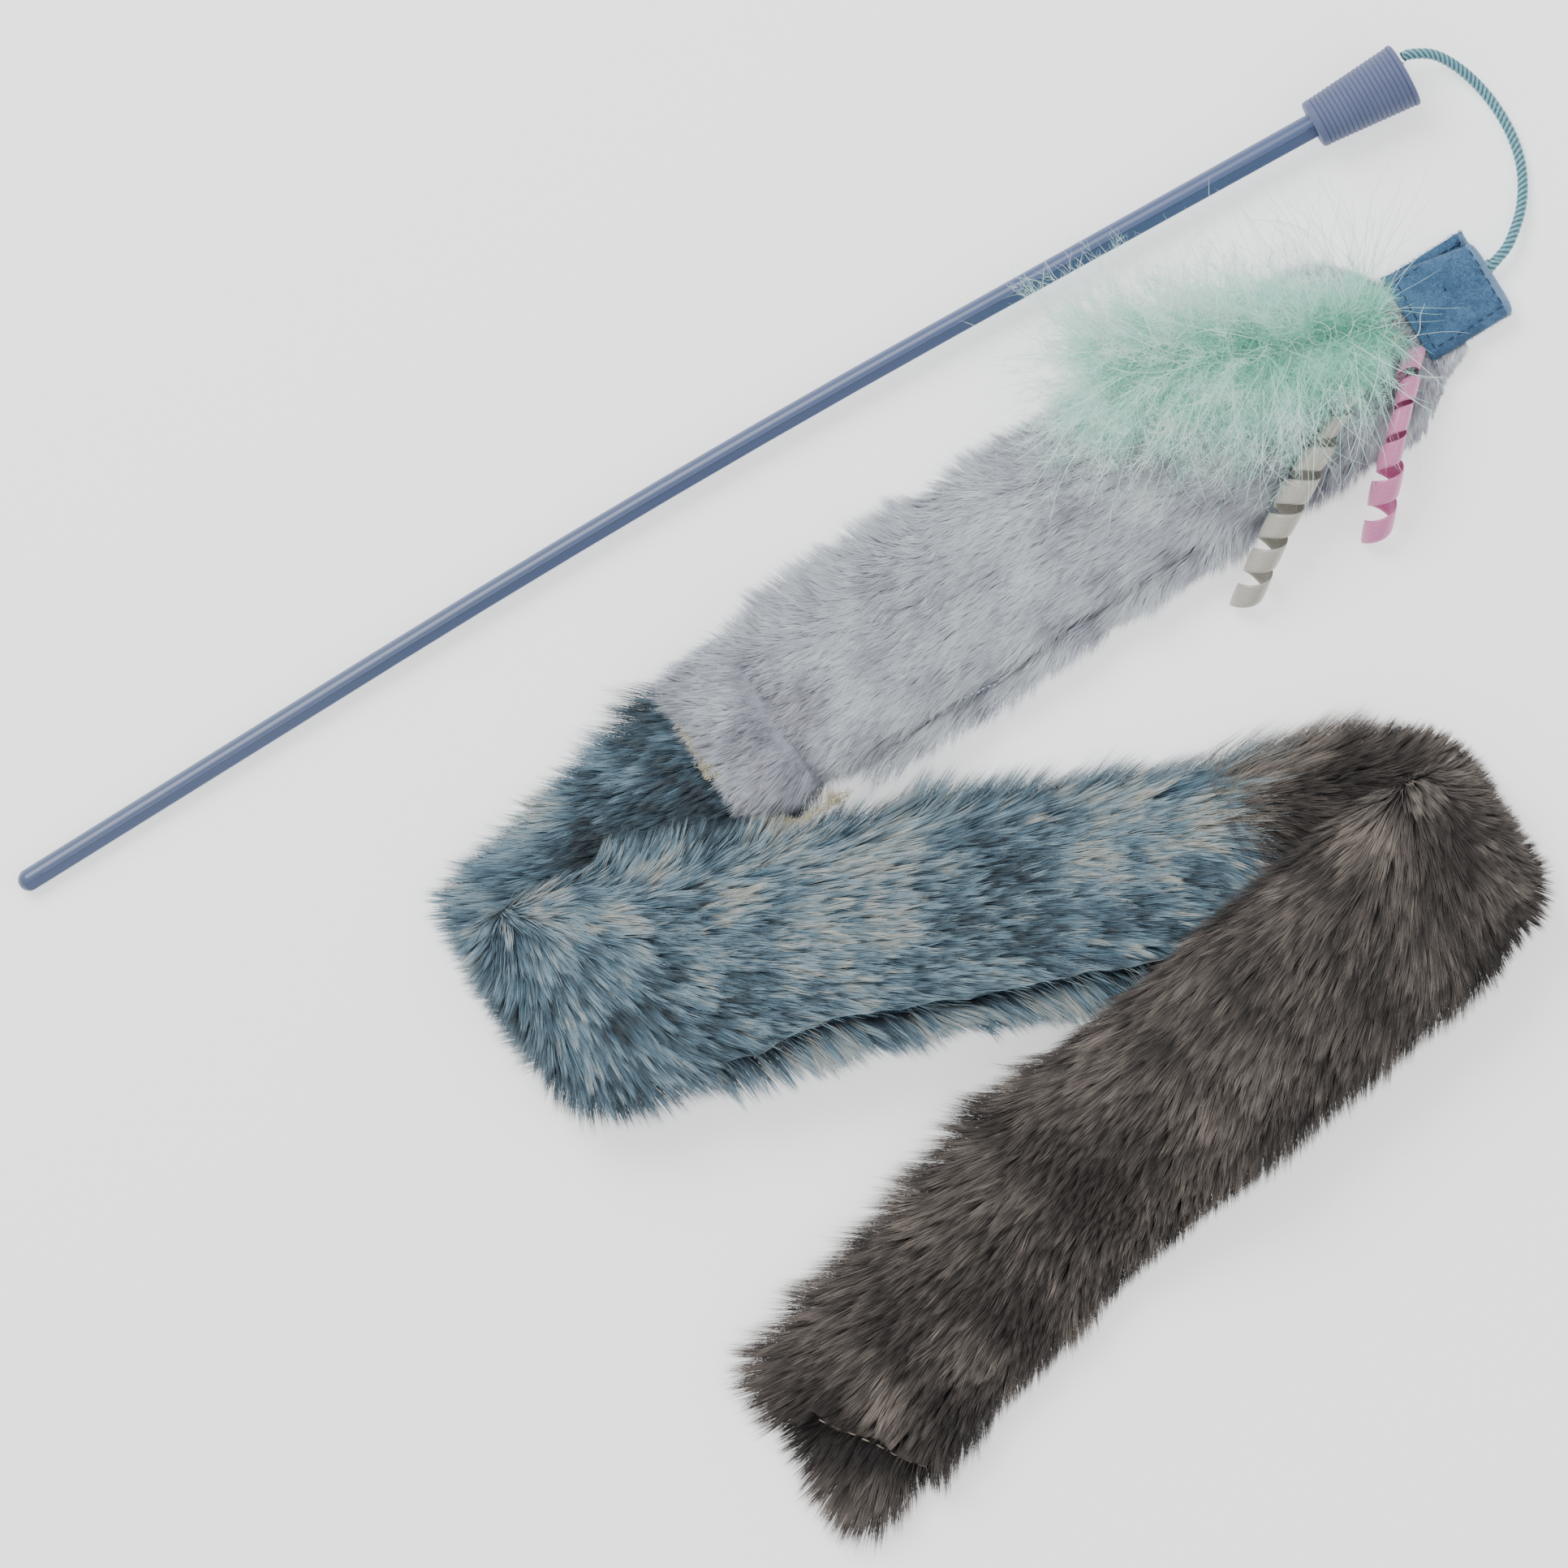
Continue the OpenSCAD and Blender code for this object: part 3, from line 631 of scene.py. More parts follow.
def fur(name, node, marks, material, body, slot, pile_length, density, seed, width, shade,
        keep=None, seams=(), rolls=(), slopes=(), dents=(), short=(), edges=(), under=0.4,
        **style):
    """Covers a CAD node with combed pile, in as many pieces as its hairs need."""
    corners, normals = skin_points(node)
    roots, normals = scatter(corners, normals, density, seed, under)
    rng = np.random.default_rng(seed + 7)
    stay = np.ones(len(roots), bool) if keep is None else keep(roots)
    for seam in seams:
        gap, _, beside = seam_side(roots, seam)
        stay &= ~((np.abs(gap) < 0.0005) & beside & (normals[:, 2] > UPPER_SIDE))
    parts = [(roots[stay], normals[stay])]
    for seam, outer, per_mm in rolls:
        parts.append(rolled_edge(roots, normals, seam, outer, per_mm, rng))
    for inner, outer, high, low, count in slopes:
        parts.append(slope(inner, outer, high, low, count, rng))
    rolled = np.arange(sum(len(r) for r, _ in parts)) >= len(parts[0][0])
    roots, normals = (np.concatenate(rows) for rows in zip(*parts))
    n = len(roots)
    way, tone, lift = comb(roots, marks)
    # Painted light: hairs that roll over a seam or lie on a slope are a little paler, against the shade that falls on
    # them, with a random mottle on top
    tone = tone + rolled * (0.04 + 0.12 * waves(roots, 0.0022, seed + 3))
    tone = tone + shade * waves(roots, 0.016, seed + 1)
    tone = tone + 0.6 * shade * waves(roots, 0.006, seed + 2)
    size = pile_length * rng.uniform(0.72, 1.15, n) * (1 - 0.25 * smooth_step(lift, 0.5, 0.8))
    for seam in seams:
        gap, _, beside = seam_side(roots, seam)
        close = fall_off(gap, 0.0018) * beside * (normals[:, 2] > UPPER_SIDE) * ~rolled
        # Painted shade: the pile along a seam's groove is darker
        tone = tone - 0.22 * close
        size = size * (1 - 0.3 * close)
    for dent in dents:
        gap, _, beside = seam_side(roots, dent)
        close = fall_off(gap, 0.0042) * beside
        # Painted shade: the pile in a dent or by the hem is darker, besides being shorter and lower
        tone = tone - 0.42 * close
        size = size * (1 - 0.4 * close)
        lift = lift * (1 - 0.5 * close)
    for edge, reach, share in edges:
        far = np.abs(seam_side(roots, edge)[0])
        size = size * (1 + share * fall_off(far * 1000, reach))
    for x, y, reach, share in short:
        far = np.hypot(roots[:, 0] - x / 1000, roots[:, 1] - y / 1000)
        size = size * (1 - share * fall_off(far * 1000, reach))
    lift = lift + 0.25 * (np.abs(normals[:, 2]) < 0.6)
    lay = on_surface(way, normals)
    wide = width * rng.uniform(0.7, 1.25, n)
    order = np.argsort(roots[:, 0])
    parts = np.array_split(order, math.ceil(n / STRIPS_PER_PIECE))
    for k, part in enumerate(parts):
        label = f"{name}_pile" if len(parts) == 1 else f"{name}_pile_{k + 1}"
        mesh = pile(
            label, roots[part], normals[part], lay[part], size[part], wide[part], lift[part],
            tone[part], seed + 3 + k, seams=seams, **style)
        new_piece(label, mesh, material, body, slot)


def merged(node):
    """A bmesh of a CAD node whose double vertices are merged."""
    bm = bmesh.new()
    bm.from_mesh(frame["nodes"][node].data)
    bmesh.ops.remove_doubles(bm, verts=bm.verts, dist=1e-6)
    return bm


def skin_points(node):
    """Corners of a CAD node's triangles and their smooth normals, as arrays (triangles, 3, 3)."""
    bm = merged(node)
    bmesh.ops.triangulate(bm, faces=bm.faces)
    bm.normal_update()
    corners = np.array([[v.co for v in f.verts] for f in bm.faces])
    normals = np.array([[v.normal for v in f.verts] for f in bm.faces])
    bm.free()
    return corners, normals


def scatter(corners, normals, density, seed, under=0.25):
    """Random points on triangles, density per square millimetre, fewer on the underside."""
    rng = np.random.default_rng(seed)
    cross = np.cross(corners[:, 1] - corners[:, 0], corners[:, 2] - corners[:, 0])
    area = np.linalg.norm(cross, axis=1) / 2 * 1e6
    facing = cross[:, 2] / np.maximum(np.linalg.norm(cross, axis=1), 1e-15)
    weight = area * np.where(facing < -0.35, under, 1.0)
    count = int(weight.sum() * density)
    pick = rng.choice(len(area), count, p=weight / weight.sum())
    a, b = rng.random(count), rng.random(count)
    flip = a + b > 1
    a[flip], b[flip] = 1 - a[flip], 1 - b[flip]
    shares = np.stack([1 - a - b, a, b], axis=1)[:, :, None]
    return (corners[pick] * shares).sum(1), unit((normals[pick] * shares).sum(1))


def on_surface(way, normals):
    """Directions laid onto the surface where they would run into it, and else kept."""
    into = np.minimum((way * normals).sum(1, keepdims=True), 0)
    return unit(way - into * normals)


def skin_piece(name, node, material, body, slot):
    """The knitted backing under the pile: the CAD form, merged and smoothed."""
    bm = merged(node)
    # It rests on the pile of its underside, which is pressed flat on the floor
    for vert in bm.verts:
        vert.co.z = max(vert.co.z, FLOOR_Z + PRESSED_PILE)
    bmesh.ops.dissolve_degenerate(bm, edges=bm.edges, dist=1e-6)
    mesh = mesh_of(name, bm)
    return new_piece(name, mesh, material, body, slot, [node])


def hair_material(name, root, shades, root_share, roughness=0.8, specular=0.25, sheen=0.2,
                  tip=(1, 1, 1), tip_share=0.0):
    """Dyed hair, felt fibre or down: the map's u picks the shade, v runs from root to tip."""
    material, tree, shader = new_material(name, roughness, specular, sheen)
    uv = add_node(tree, "ShaderNodeUVMap", uv_map="OFBake")
    parts = add_node(tree, "ShaderNodeSeparateXYZ", {0: uv.outputs["UV"]})
    along = spread(tree, parts.outputs["Y"], MAP_ROOT, MAP_TIP)
    # Towards the root each strand takes the root colour; in the furs this is partly the dye's darker root and partly
    # painted shade deep in the pile
    rise = ramp(tree, along, [(root_share[0], (0, 0, 0)), (root_share[1], (1, 1, 1))])
    dyed = mix(tree, rise, root, ramp(tree, parts.outputs["X"], shades))
    paint(tree, shader, mix(tree, spread(tree, along, 0.55, 1, tip_share), dyed, tip))
    return material


def knit_material(name, dark, light):
    """Warp-knitted backing cloth: wales and courses a millimetre apart, with fuzz."""
    material, tree, shader = new_material(name, 0.95, 0.1)
    place = object_place(tree)
    wales, courses = bands(tree, place, 310, 1.2, "X", 1), bands(tree, place, 420, 1.2, "Y", 1)
    loops = compute(tree, "MULTIPLY", wales, courses)
    both = compute(tree, "MULTIPLY_ADD", noise(tree, place, 900, 3), 0.7, loops)
    paint(tree, shader, ramp(tree, both, [(0.25, dark), (0.95, light)]))
    emboss(tree, shader, loops, 0.5, 0.0002)
    return material


# From the rod's butt to the middle of the picture, right and down, in metres
BUTT_TO_MIDDLE = (0.20832, -0.026432)


class WAND_OT_stage(bpy.types.Operator):
    """Makes the floor, the lights and the camera"""

    bl_idname = "wand.stage"
    bl_label = "Stage"

    def execute(self, context):
        settings = context.scene.wand_stage
        bm = bmesh.new()
        bmesh.ops.create_grid(bm, x_segments=1, y_segments=1, size=6)
        bmesh.ops.translate(bm, vec=(0.2, -0.1, FLOOR_Z - 0.00005), verts=bm.verts)
        floor = bpy.data.objects.new("floor", mesh_of("floor", bm, smooth=False))
        context.scene.collection.objects.link(floor)
        # A light table: matt white acrylic, faintly lit from below, as in the photograph
        material, _, shader = new_material("matt white acrylic, lit", 0.9, 0.1)
        shader.inputs["Base Color"].default_value = (*settings.floor_colour, 1)
        shader.inputs["Emission Color"].default_value = (1, 1, 1, 1)
        shader.inputs["Emission Strength"].default_value = settings.floor_glow
        floor.data.materials.append(material)
        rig.stage(floor)

        right = Vector((math.cos(settings.turn), -math.sin(settings.turn), 0))
        up = Vector((math.sin(settings.turn), math.cos(settings.turn), 0))
        centre = BUTT_TO_MIDDLE[0] * right - BUTT_TO_MIDDLE[1] * up
        camera = bpy.data.cameras.new("camera")
        camera.sensor_width = 36
        camera.lens = 36 * settings.camera_height / settings.view_width
        view = bpy.data.objects.new("camera", camera)
        context.scene.collection.objects.link(view)
        view.matrix_world = Matrix((
            (right.x, up.x, 0, centre.x), (right.y, up.y, 0, centre.y),
            (0, 0, 1, settings.camera_height), (0, 0, 0, 1)))
        context.scene.camera = view

        world = context.scene.world or bpy.data.worlds.new("world")
        context.scene.world = world
        world.use_nodes = True
        background = world.node_tree.nodes["Background"]
        background.inputs["Color"].default_value = (1, 1, 1, 1)
        background.inputs["Strength"].default_value = 0.80
        # Each light: where it stands from the middle of the picture, its size and its power
        lights = [
            ("key", -0.9 * right + 1.1 * up + Vector((0, 0, 1.5)), 1.1, 38),
            ("fill", 1.2 * right - 0.2 * up + Vector((0, 0, 1.6)), 1.5, 9),
        ]
        for name, place, size, power in lights:
            lamp = bpy.data.lights.new(name, "AREA")
            lamp.size = size
            lamp.energy = power
            light = bpy.data.objects.new(name, lamp)
            context.scene.collection.objects.link(light)
            light.location = centre + place
            light.rotation_euler = (-place).to_track_quat("-Z", "Y").to_euler()
        return {"FINISHED"}


# The cord's route in metres: inside the bell, and then the free stretch, as in the part's source
BELL_ROUTE = [(0.43175, -0.01143, 0.00600), (0.4344, -0.0112, 0.00605), (0.4366, -0.0100, 0.00605)]
FREE_ROUTE = [
    (441, -7.5, 9.3), (445.5, -9, 8.6), (449.5, -12, 6.9), (452.7, -17, 4.7), (455, -23, 2.7),
    (456.3, -29.5, 1.7), (456.6, -36, 1.6), (456, -42.5, 1.6), (454.3, -49, 1.7),
    (451.3, -55, 2.1), (447, -60.5, 3), (441.6, -65, 4.1), (438, -67.2, 4.5), (434, -68.5, 4.6)]
FREE_ROUTE = [(x / 1000, y / 1000, z / 1000 - 0.00315) for x, y, z in FREE_ROUTE]
TAB_ROUTE = [(0.4343, -0.0684, 0.00143), (0.4318, -0.0692, 0.00145), (0.4290, -0.0702, 0.00145)]


def smooth_route(points, steps):
    """A smooth curve through the points, as an array with steps points to a stretch."""
    p = np.array(points)
    p = np.concatenate([[2 * p[0] - p[1]], p, [2 * p[-1] - p[-2]]])
    out = []
    for i in range(1, len(p) - 2):
        for k in range(steps):
            t = k / steps
            out.append(0.5 * (
                2 * p[i] + (p[i + 1] - p[i - 1]) * t
                + (2 * p[i - 1] - 5 * p[i] + 4 * p[i + 1] - p[i + 2]) * t * t
                + (3 * p[i] - p[i - 1] - 3 * p[i + 1] + p[i + 2]) * t ** 3))
    out.append(p[-2])
    return np.array(out)


def even_route(points, spacing):
    """The same curve with points at an even spacing, and the distance of each from the start."""
    gaps = np.linalg.norm(np.diff(points, axis=0), axis=1)
    along = np.concatenate([[0], np.cumsum(gaps)])
    places = np.linspace(0, along[-1], max(3, int(round(along[-1] / spacing)) + 1))
    return np.stack([np.interp(places, along, points[:, k]) for k in range(3)], axis=1), places


def carried_frames(route):
    """Two directions square to the route at each point, carried along it without a twist."""
    ways = unit(np.gradient(route, axis=0))
    side = np.cross((0, 0, 1), ways[0])
    side = side / np.linalg.norm(side)
    sides = []
    for way in ways:
        side = side - way * (side @ way)
        side = side / np.linalg.norm(side)
        sides.append(side)
    sides = np.array(sides)
    return sides, np.cross(ways, sides)


def join_rings(bm, rings):
    """Joins rings of vertices to a closed tube. Gives the faces of its wall."""
    around = len(rings[0])
    wall = []
    for ring, following in zip(rings[:-1], rings[1:]):
        for j in range(around):
            k = (j + 1) % around
            wall.append(bm.faces.new((ring[j], ring[k], following[k], following[j])))
    bm.faces.new(rings[0][::-1])
    bm.faces.new(rings[-1])
    return wall


def tube_mesh(name, rings):
    """A closed tube through rings of points, with a map that runs along and round it."""
    count, around = len(rings), len(rings[0])
    bm = bmesh.new()
    rows = [[bm.verts.new(p) for p in ring] for ring in rings]
    layer = bm.loops.layers.uv.new("OFBake")
    for n, face in enumerate(join_rings(bm, rows)):
        i, j = divmod(n, around)
        places = [(i, j), (i, j + 1), (i + 1, j + 1), (i + 1, j)]
        for loop, (a, b) in zip(face.loops, places):
            loop[layer].uv = (a / (count - 1), b / around)
    bmesh.ops.recalc_face_normals(bm, faces=bm.faces)
    return mesh_of(name, bm)


def rings_round(route, radii, around):
    """Rings of points round a route. radii: for each point of it a number, or one to an angle."""
    sides, ups = carried_frames(route)
    angle = 2 * math.pi * np.arange(around) / around
    return [
        centre + radius * (np.cos(angle)[:, None] * side + np.sin(angle)[:, None] * up)
        for centre, radius, side, up in zip(route, radii, sides, ups)]


def ply_lobes(places, settings, around):
    """How far out the twisted plies are, 0 to 1, at these places along the cord and round it."""
    angle = 2 * math.pi * np.arange(around) / around
    turn = 2 * math.pi * places[:, None] / settings.lay
    return np.abs(np.cos(settings.plies / 2 * (angle - turn)))


class WAND_OT_cord(bpy.types.Operator):
    """Makes the twisted satin cord: the free stretch and the stretch in the cap's bell"""

    bl_idname = "wand.cord"
    bl_label = "Satin cord"

    def execute(self, context):
        settings = context.scene.wand_cord
        # Rayon satin cord, twisted from shiny filament plies: painted highlight makes the ply ridges bright, painted
        # shade makes the valleys between them deep teal
        material, tree, shader = new_material("satin cord, twisted rayon", 0.34, 0.6, 0.15)
        grain = noise(tree, object_place(tree), 2600, 3)
        ply = add_node(tree, "ShaderNodeAttribute", attribute_name="ply").outputs["Fac"]
        ridge_light_valley_shade = compute(tree, "MULTIPLY_ADD", grain, 0.5, ply)
        paint(tree, shader, ramp(
            tree, ridge_light_valley_shade,
            [(0.36, settings.dark), (0.74, linear("437C8B")), (1.0, settings.light)]))
        emboss(tree, shader, grain, 0.35, 0.0001)

        steps, spacing, around = 16, 0.00025, 40
        whole = smooth_route(BELL_ROUTE + FREE_ROUTE, steps)
        split = len(BELL_ROUTE) * steps
        free, along = even_route(whole[split:], spacing)
        root, root_along = even_route(whole[: split - 3], spacing)
        tab, tab_along = even_route(smooth_route(TAB_ROUTE, 12), spacing)
        for name, route, places, start, body, replaces in (
            ("satin_cord", free, along, 0, "cord_loop", ["cord"]),
            ("satin_cord_in_bell", root, root_along, -root_along[-1], "wand", ["cord_root"]),
            ("satin_cord_in_tab", tab, tab_along, along[-1], "lure_head", ()),
        ):
            lobes = ply_lobes(places + start, settings, around)
            size = settings.diameter / 2 * (0.74 + 0.26 * lobes ** 0.8)
            mesh = tube_mesh(name, rings_round(route, size[:, :, None], around))
            # How far out the plies are here: it paints highlight on their ridges and shade in their valleys
            value = mesh.attributes.new("ply", "FLOAT", "POINT")
            value.data.foreach_set("value", (lobes.ravel() ** 0.7 * 0.75).astype(np.float32))
            piece = new_piece(name, mesh, material, body, "satin_cord", replaces)
            if name == "satin_cord":
                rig.cord(
                    piece, exit=FREE_ROUTE[0], length=float(places[-1]),
                    diameter=settings.diameter, far_end="object", stiffness="limp", lay="loose",
                    path=[tuple(p) for p in route[::6]] + [tuple(route[-1])])

        # The knots show only in gaps: the same cord, drawn tight
        knot, tree, shader = new_material("satin cord, knotted", 0.45, 0.5, 0.1)
        # Diagonal bands paint the cord's turns, with painted shade between them in the cord's valley colour
        turns = bands(tree, object_place(tree), 260, 1.5, "DIAGONAL")
        paint(tree, shader, ramp(tree, turns, [(0.1, settings.dark), (0.8, linear("6AA2AE"))]))
        for node in ("stopper_knot", "tab_knot"):
            cover_node(node, knot)
        return {"FINISHED"}


# The rod's middle line, as in the part's source: a straight grip, a bow and a straight neck
GRIP, BOW, BEND = 0.116, 0.180, math.radians(2.9)
ROD_RADIUS, TIP_RADIUS, NECK = 0.00315, 0.00345, 0.1145
ROD_TILT = math.radians(0.807)
RIDGE_TURN = math.radians(8.4)


def on_rod(places, turn):
    """Points on the rod's surface at these distances from the butt, turned from the top."""
    bow_radius = BOW / BEND
    out = []
    for s in places:
        angle = min(max((s - GRIP) / bow_radius, 0), BEND)
        x = min(s, GRIP) + bow_radius * math.sin(angle)
        y = -bow_radius * (1 - math.cos(angle))
        past = max(0, s - GRIP - BOW)
        x, y = x + past * math.cos(BEND), y - past * math.sin(BEND)
        radius = ROD_RADIUS + (TIP_RADIUS - ROD_RADIUS) * min(1, past / NECK)
        if s < ROD_RADIUS:
            radius = radius * math.sqrt(1 - (1 - s / ROD_RADIUS) ** 2)
        out_y, z = radius * math.sin(turn), radius * math.cos(turn)
        x, y = x - out_y * math.sin(angle), y - out_y * math.cos(angle)
        out.append((
            x * math.cos(ROD_TILT) - z * math.sin(ROD_TILT), y,
            x * math.sin(ROD_TILT) + z * math.cos(ROD_TILT)))
    return np.array(out)


class WAND_OT_plastic(bpy.types.Operator):
    """Gives the rod and the cap their plastics and adds the mould's parting ridge"""

    bl_idname = "wand.plastic"
    bl_label = "Rod and cap"

    def execute(self, context):
        settings = context.scene.wand_plastic
        # Polypropylene rod, injection moulded: a soft gloss with faint drawn streaks along it
        rod, tree, shader = new_material("polypropylene, moulded gloss", 0.30, 0.5)
        place = object_place(tree)
        parts = add_node(tree, "ShaderNodeSeparateXYZ", {0: place})
        shade = mix(
            tree, spread(tree, parts.outputs["X"], 0.1, 0.41), settings.rod, settings.rod_tip)
        stretch = add_node(tree, "ShaderNodeMapping", {"Vector": place, "Scale": (12, 900, 900)})
        streak = noise(tree, stretch.outputs[0], 1, 3)
        faint = compute(tree, "MULTIPLY", streak, 0.45)
        paint(tree, shader, mix(tree, faint, shade, linear("5E6E92")))
        emboss(tree, shader, streak, 0.12, 0.0002)
        cover_node("wand_rod", rod)

        # Thermoplastic rubber cap, moulded: matte, with a bloom that greys its ribs
        cap, tree, shader = new_material("thermoplastic rubber, moulded matte", 0.62, 0.4, 0.1)
        place = object_place(tree)
        bloom = noise(tree, place, 120, 4)
        paint(tree, shader, ramp(tree, bloom, [(0.3, linear("576082")), (0.7, settings.cap)]))
        emboss(tree, shader, noise(tree, place, 2500, 2), 0.15, 0.0001)
        cover_node("tip_cap", cap)

        # The mould's parting ridge runs along the upper edge of the rod's facet
        route = on_rod(np.linspace(0.0035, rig.box("tip_cap")[0].x - 0.0006, 260), RIDGE_TURN)
        rings = rings_round(route, [settings.ridge_height] * len(route), 8)
        new_piece(
            "rod_parting_ridge", tube_mesh("rod_parting_ridge", rings), rod, "wand",
            "rod_plastic")
        return {"FINISHED"}


# Felt tab, in metres: its box, the height of the middle between the leaves, and the space there
TAB_LOW, TAB_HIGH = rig.box("felt_tab")
LEAF_MID = (TAB_LOW.z + TAB_HIGH.z) / 2
TAB_Y = (TAB_LOW.y + TAB_HIGH.y) / 2
TAB_HALF = (TAB_HIGH.y - TAB_LOW.y) / 2
LEAF_SKEW = 0.0045
# Where the fold starts, how far out its middle lies, and the length of cloth that it takes up
FOLD_X = TAB_HIGH.x - 0.0041
FOLD_REACH = 0.0034
FOLD_LENGTH = 0.0107


def leaf_half_gap(x, v):
    """Half the distance between the middles of the two leaves. v: -1 to 1 across the tab."""
    full = (TAB_HIGH.z - TAB_LOW.z) / 2 - 0.0007
    rim = (1 - np.abs(v) ** 6) ** 0.55
    open_end = 1 - smooth_step(x, TAB_LOW.x, TAB_LOW.x + 0.004)
    sewn = 0.00085 + 0.0002 * smooth_step(x, TAB_LOW.x, TAB_HIGH.x)
    middle = full * (0.86 + 0.14 * smooth_step(x, TAB_LOW.x + 0.004, TAB_HIGH.x))
    return sewn + (middle - sewn) * rim - 0.0002 * open_end


def upper_drop(share):
    """How far the upper leaf's edge lies inside the lower one's. share: 0 at the open end."""
    return LEAF_SKEW * np.clip(share, 0, 1)


def under_upper(v, drop):
    """The place across the upper leaf that lies over this place across the lower one."""
    y = (v + 1) * TAB_HALF
    return float(np.clip(2 * y / (2 * TAB_HALF - drop) - 1, -1, 1))


def felt_point(s, v, run):
    """A point of the felt's middle surface. s: along the cloth from the lower leaf's open edge."""
    flat = FOLD_X - TAB_LOW.x
    if s <= flat:
        x, side, drop = TAB_LOW.x + s, -1.0, 0.0
        z = LEAF_MID + side * leaf_half_gap(x, under_upper(v, upper_drop(s / flat)))
    elif s >= run - flat:
        x, side = TAB_LOW.x + (run - s), 1.0
        drop = upper_drop((run - s) / flat)
        z = LEAF_MID + side * leaf_half_gap(x, v)
    else:
        angle = math.pi * (s - flat) / (run - 2 * flat)
        drop = LEAF_SKEW * float(smooth_step(np.array(angle), 1.6, math.pi))
        gap = leaf_half_gap(FOLD_X, under_upper(v, LEAF_SKEW - drop))
        reach = FOLD_REACH * (0.5 + 0.5 * gap / leaf_half_gap(FOLD_X, 0))
        x, z = FOLD_X + reach * math.sin(angle), LEAF_MID - math.cos(angle) * gap
    y = TAB_Y - TAB_HALF + (v + 1) / 2 * (2 * TAB_HALF - drop)
    return (x, y, z)


def felt_top(x, y):
    """Height of the upper leaf's outer face at a place."""
    drop = upper_drop((x - TAB_LOW.x) / (FOLD_X - TAB_LOW.x))
    v = (y - TAB_Y + TAB_HALF) / (2 * TAB_HALF - drop) * 2 - 1
    if v > 1:
        return float(LEAF_MID - leaf_half_gap(min(x, FOLD_X), 1.0) + 0.0008)
    return float(LEAF_MID + leaf_half_gap(min(x, FOLD_X), max(v, -1)) + 0.0007)


def grid_normals(points):
    """The directions square to a grid of points."""
    return unit(np.cross(np.gradient(points, axis=1), np.gradient(points, axis=0)))


def thick_sheet(name, points, thickness):
    """A closed sheet of even thickness round a grid of points of its middle."""
    normal = grid_normals(points)
    rows, columns, _ = points.shape
    bm = bmesh.new()
    faces = []
    for side in (1, -1):
        place = points + side * thickness / 2 * normal
        faces.append([[bm.verts.new(p) for p in row] for row in place])
    outer, inner = faces
    for i in range(rows - 1):
        for j in range(columns - 1):
            for grid in faces:
                bm.faces.new((grid[i][j], grid[i][j + 1], grid[i + 1][j + 1], grid[i + 1][j]))
    rim = [(0, j) for j in range(columns)]
    rim += [(i, columns - 1) for i in range(1, rows)]
    rim += [(rows - 1, j) for j in range(columns - 2, -1, -1)]
    rim += [(i, 0) for i in range(rows - 2, 0, -1)]
    for (a, b), (c, d) in zip(rim, rim[1:] + rim[:1]):
        bm.faces.new((outer[a][b], outer[c][d], inner[c][d], inner[a][b]))
    bmesh.ops.recalc_face_normals(bm, faces=bm.faces)
    return mesh_of(name, bm)


def stitch_mesh(name, stitches, radius):
    """Short threads that rise out of the cloth and go back in. stitches: pairs of points."""
    bm = bmesh.new()
    levels, around = 7, 6
    turns = [6.2832 * j / around for j in range(around)]
    for a, b in stitches:
        a, b = np.array(a), np.array(b)
        way = unit(b - a)
        side = unit(np.cross((0, 0, 1), way))
        up = np.cross(way, side)
        rows = []
        for i in range(levels):
            t = i / (levels - 1)
            centre = a + (b - a) * t + up * (radius * 1.5 * math.sin(math.pi * t) - radius * 0.6)
            size = radius * (0.45 + 0.55 * math.sin(math.pi * t) ** 0.5)
            rows.append([
                bm.verts.new(centre + size * (math.cos(turn) * side + math.sin(turn) * up))
                for turn in turns])
        join_rings(bm, rows)
    bmesh.ops.recalc_face_normals(bm, faces=bm.faces)
    return mesh_of(name, bm)


def seam_stitches(route, pitch, share, height, rng):
    """Stitches along a route of X and Y places, laid on a surface of the given height."""
    path, _ = even_route(np.array([(x, y, 0) for x, y in route]), pitch)
    out = []
    for a, b in zip(path[:-1], path[1:]):
        end = a + (b - a) * share
        wander = rng.normal(0, 0.00012, 2)
        out.append((
            (a[0] + wander[0], a[1] + wander[1], height(a[0], a[1])),
            (end[0] + wander[0], end[1] + wander[1], height(end[0], end[1]))))
    return out


def pile_height(node, above):
    """A function of X and Y that gives the height of the pile over a CAD node."""
    spots, _ = scatter(*skin_points(node), 2, 5)

    def height(x, y):
        near = np.hypot(spots[:, 0] - x, spots[:, 1] - y) < 0.003
        return float(spots[near, 2].max() + above) if near.any() else above
    return height


def thread_material(name, dark, light):
    """Polyester sewing thread: two plies, painted a shade lighter on their ridges as highlight."""
    thread, tree, shader = new_material(name, 0.6, 0.4)
    plies = bands(tree, object_place(tree), 700, 1, "DIAGONAL")
    paint(tree, shader, ramp(tree, plies, [(0.1, dark), (0.9, light)]))
    return thread


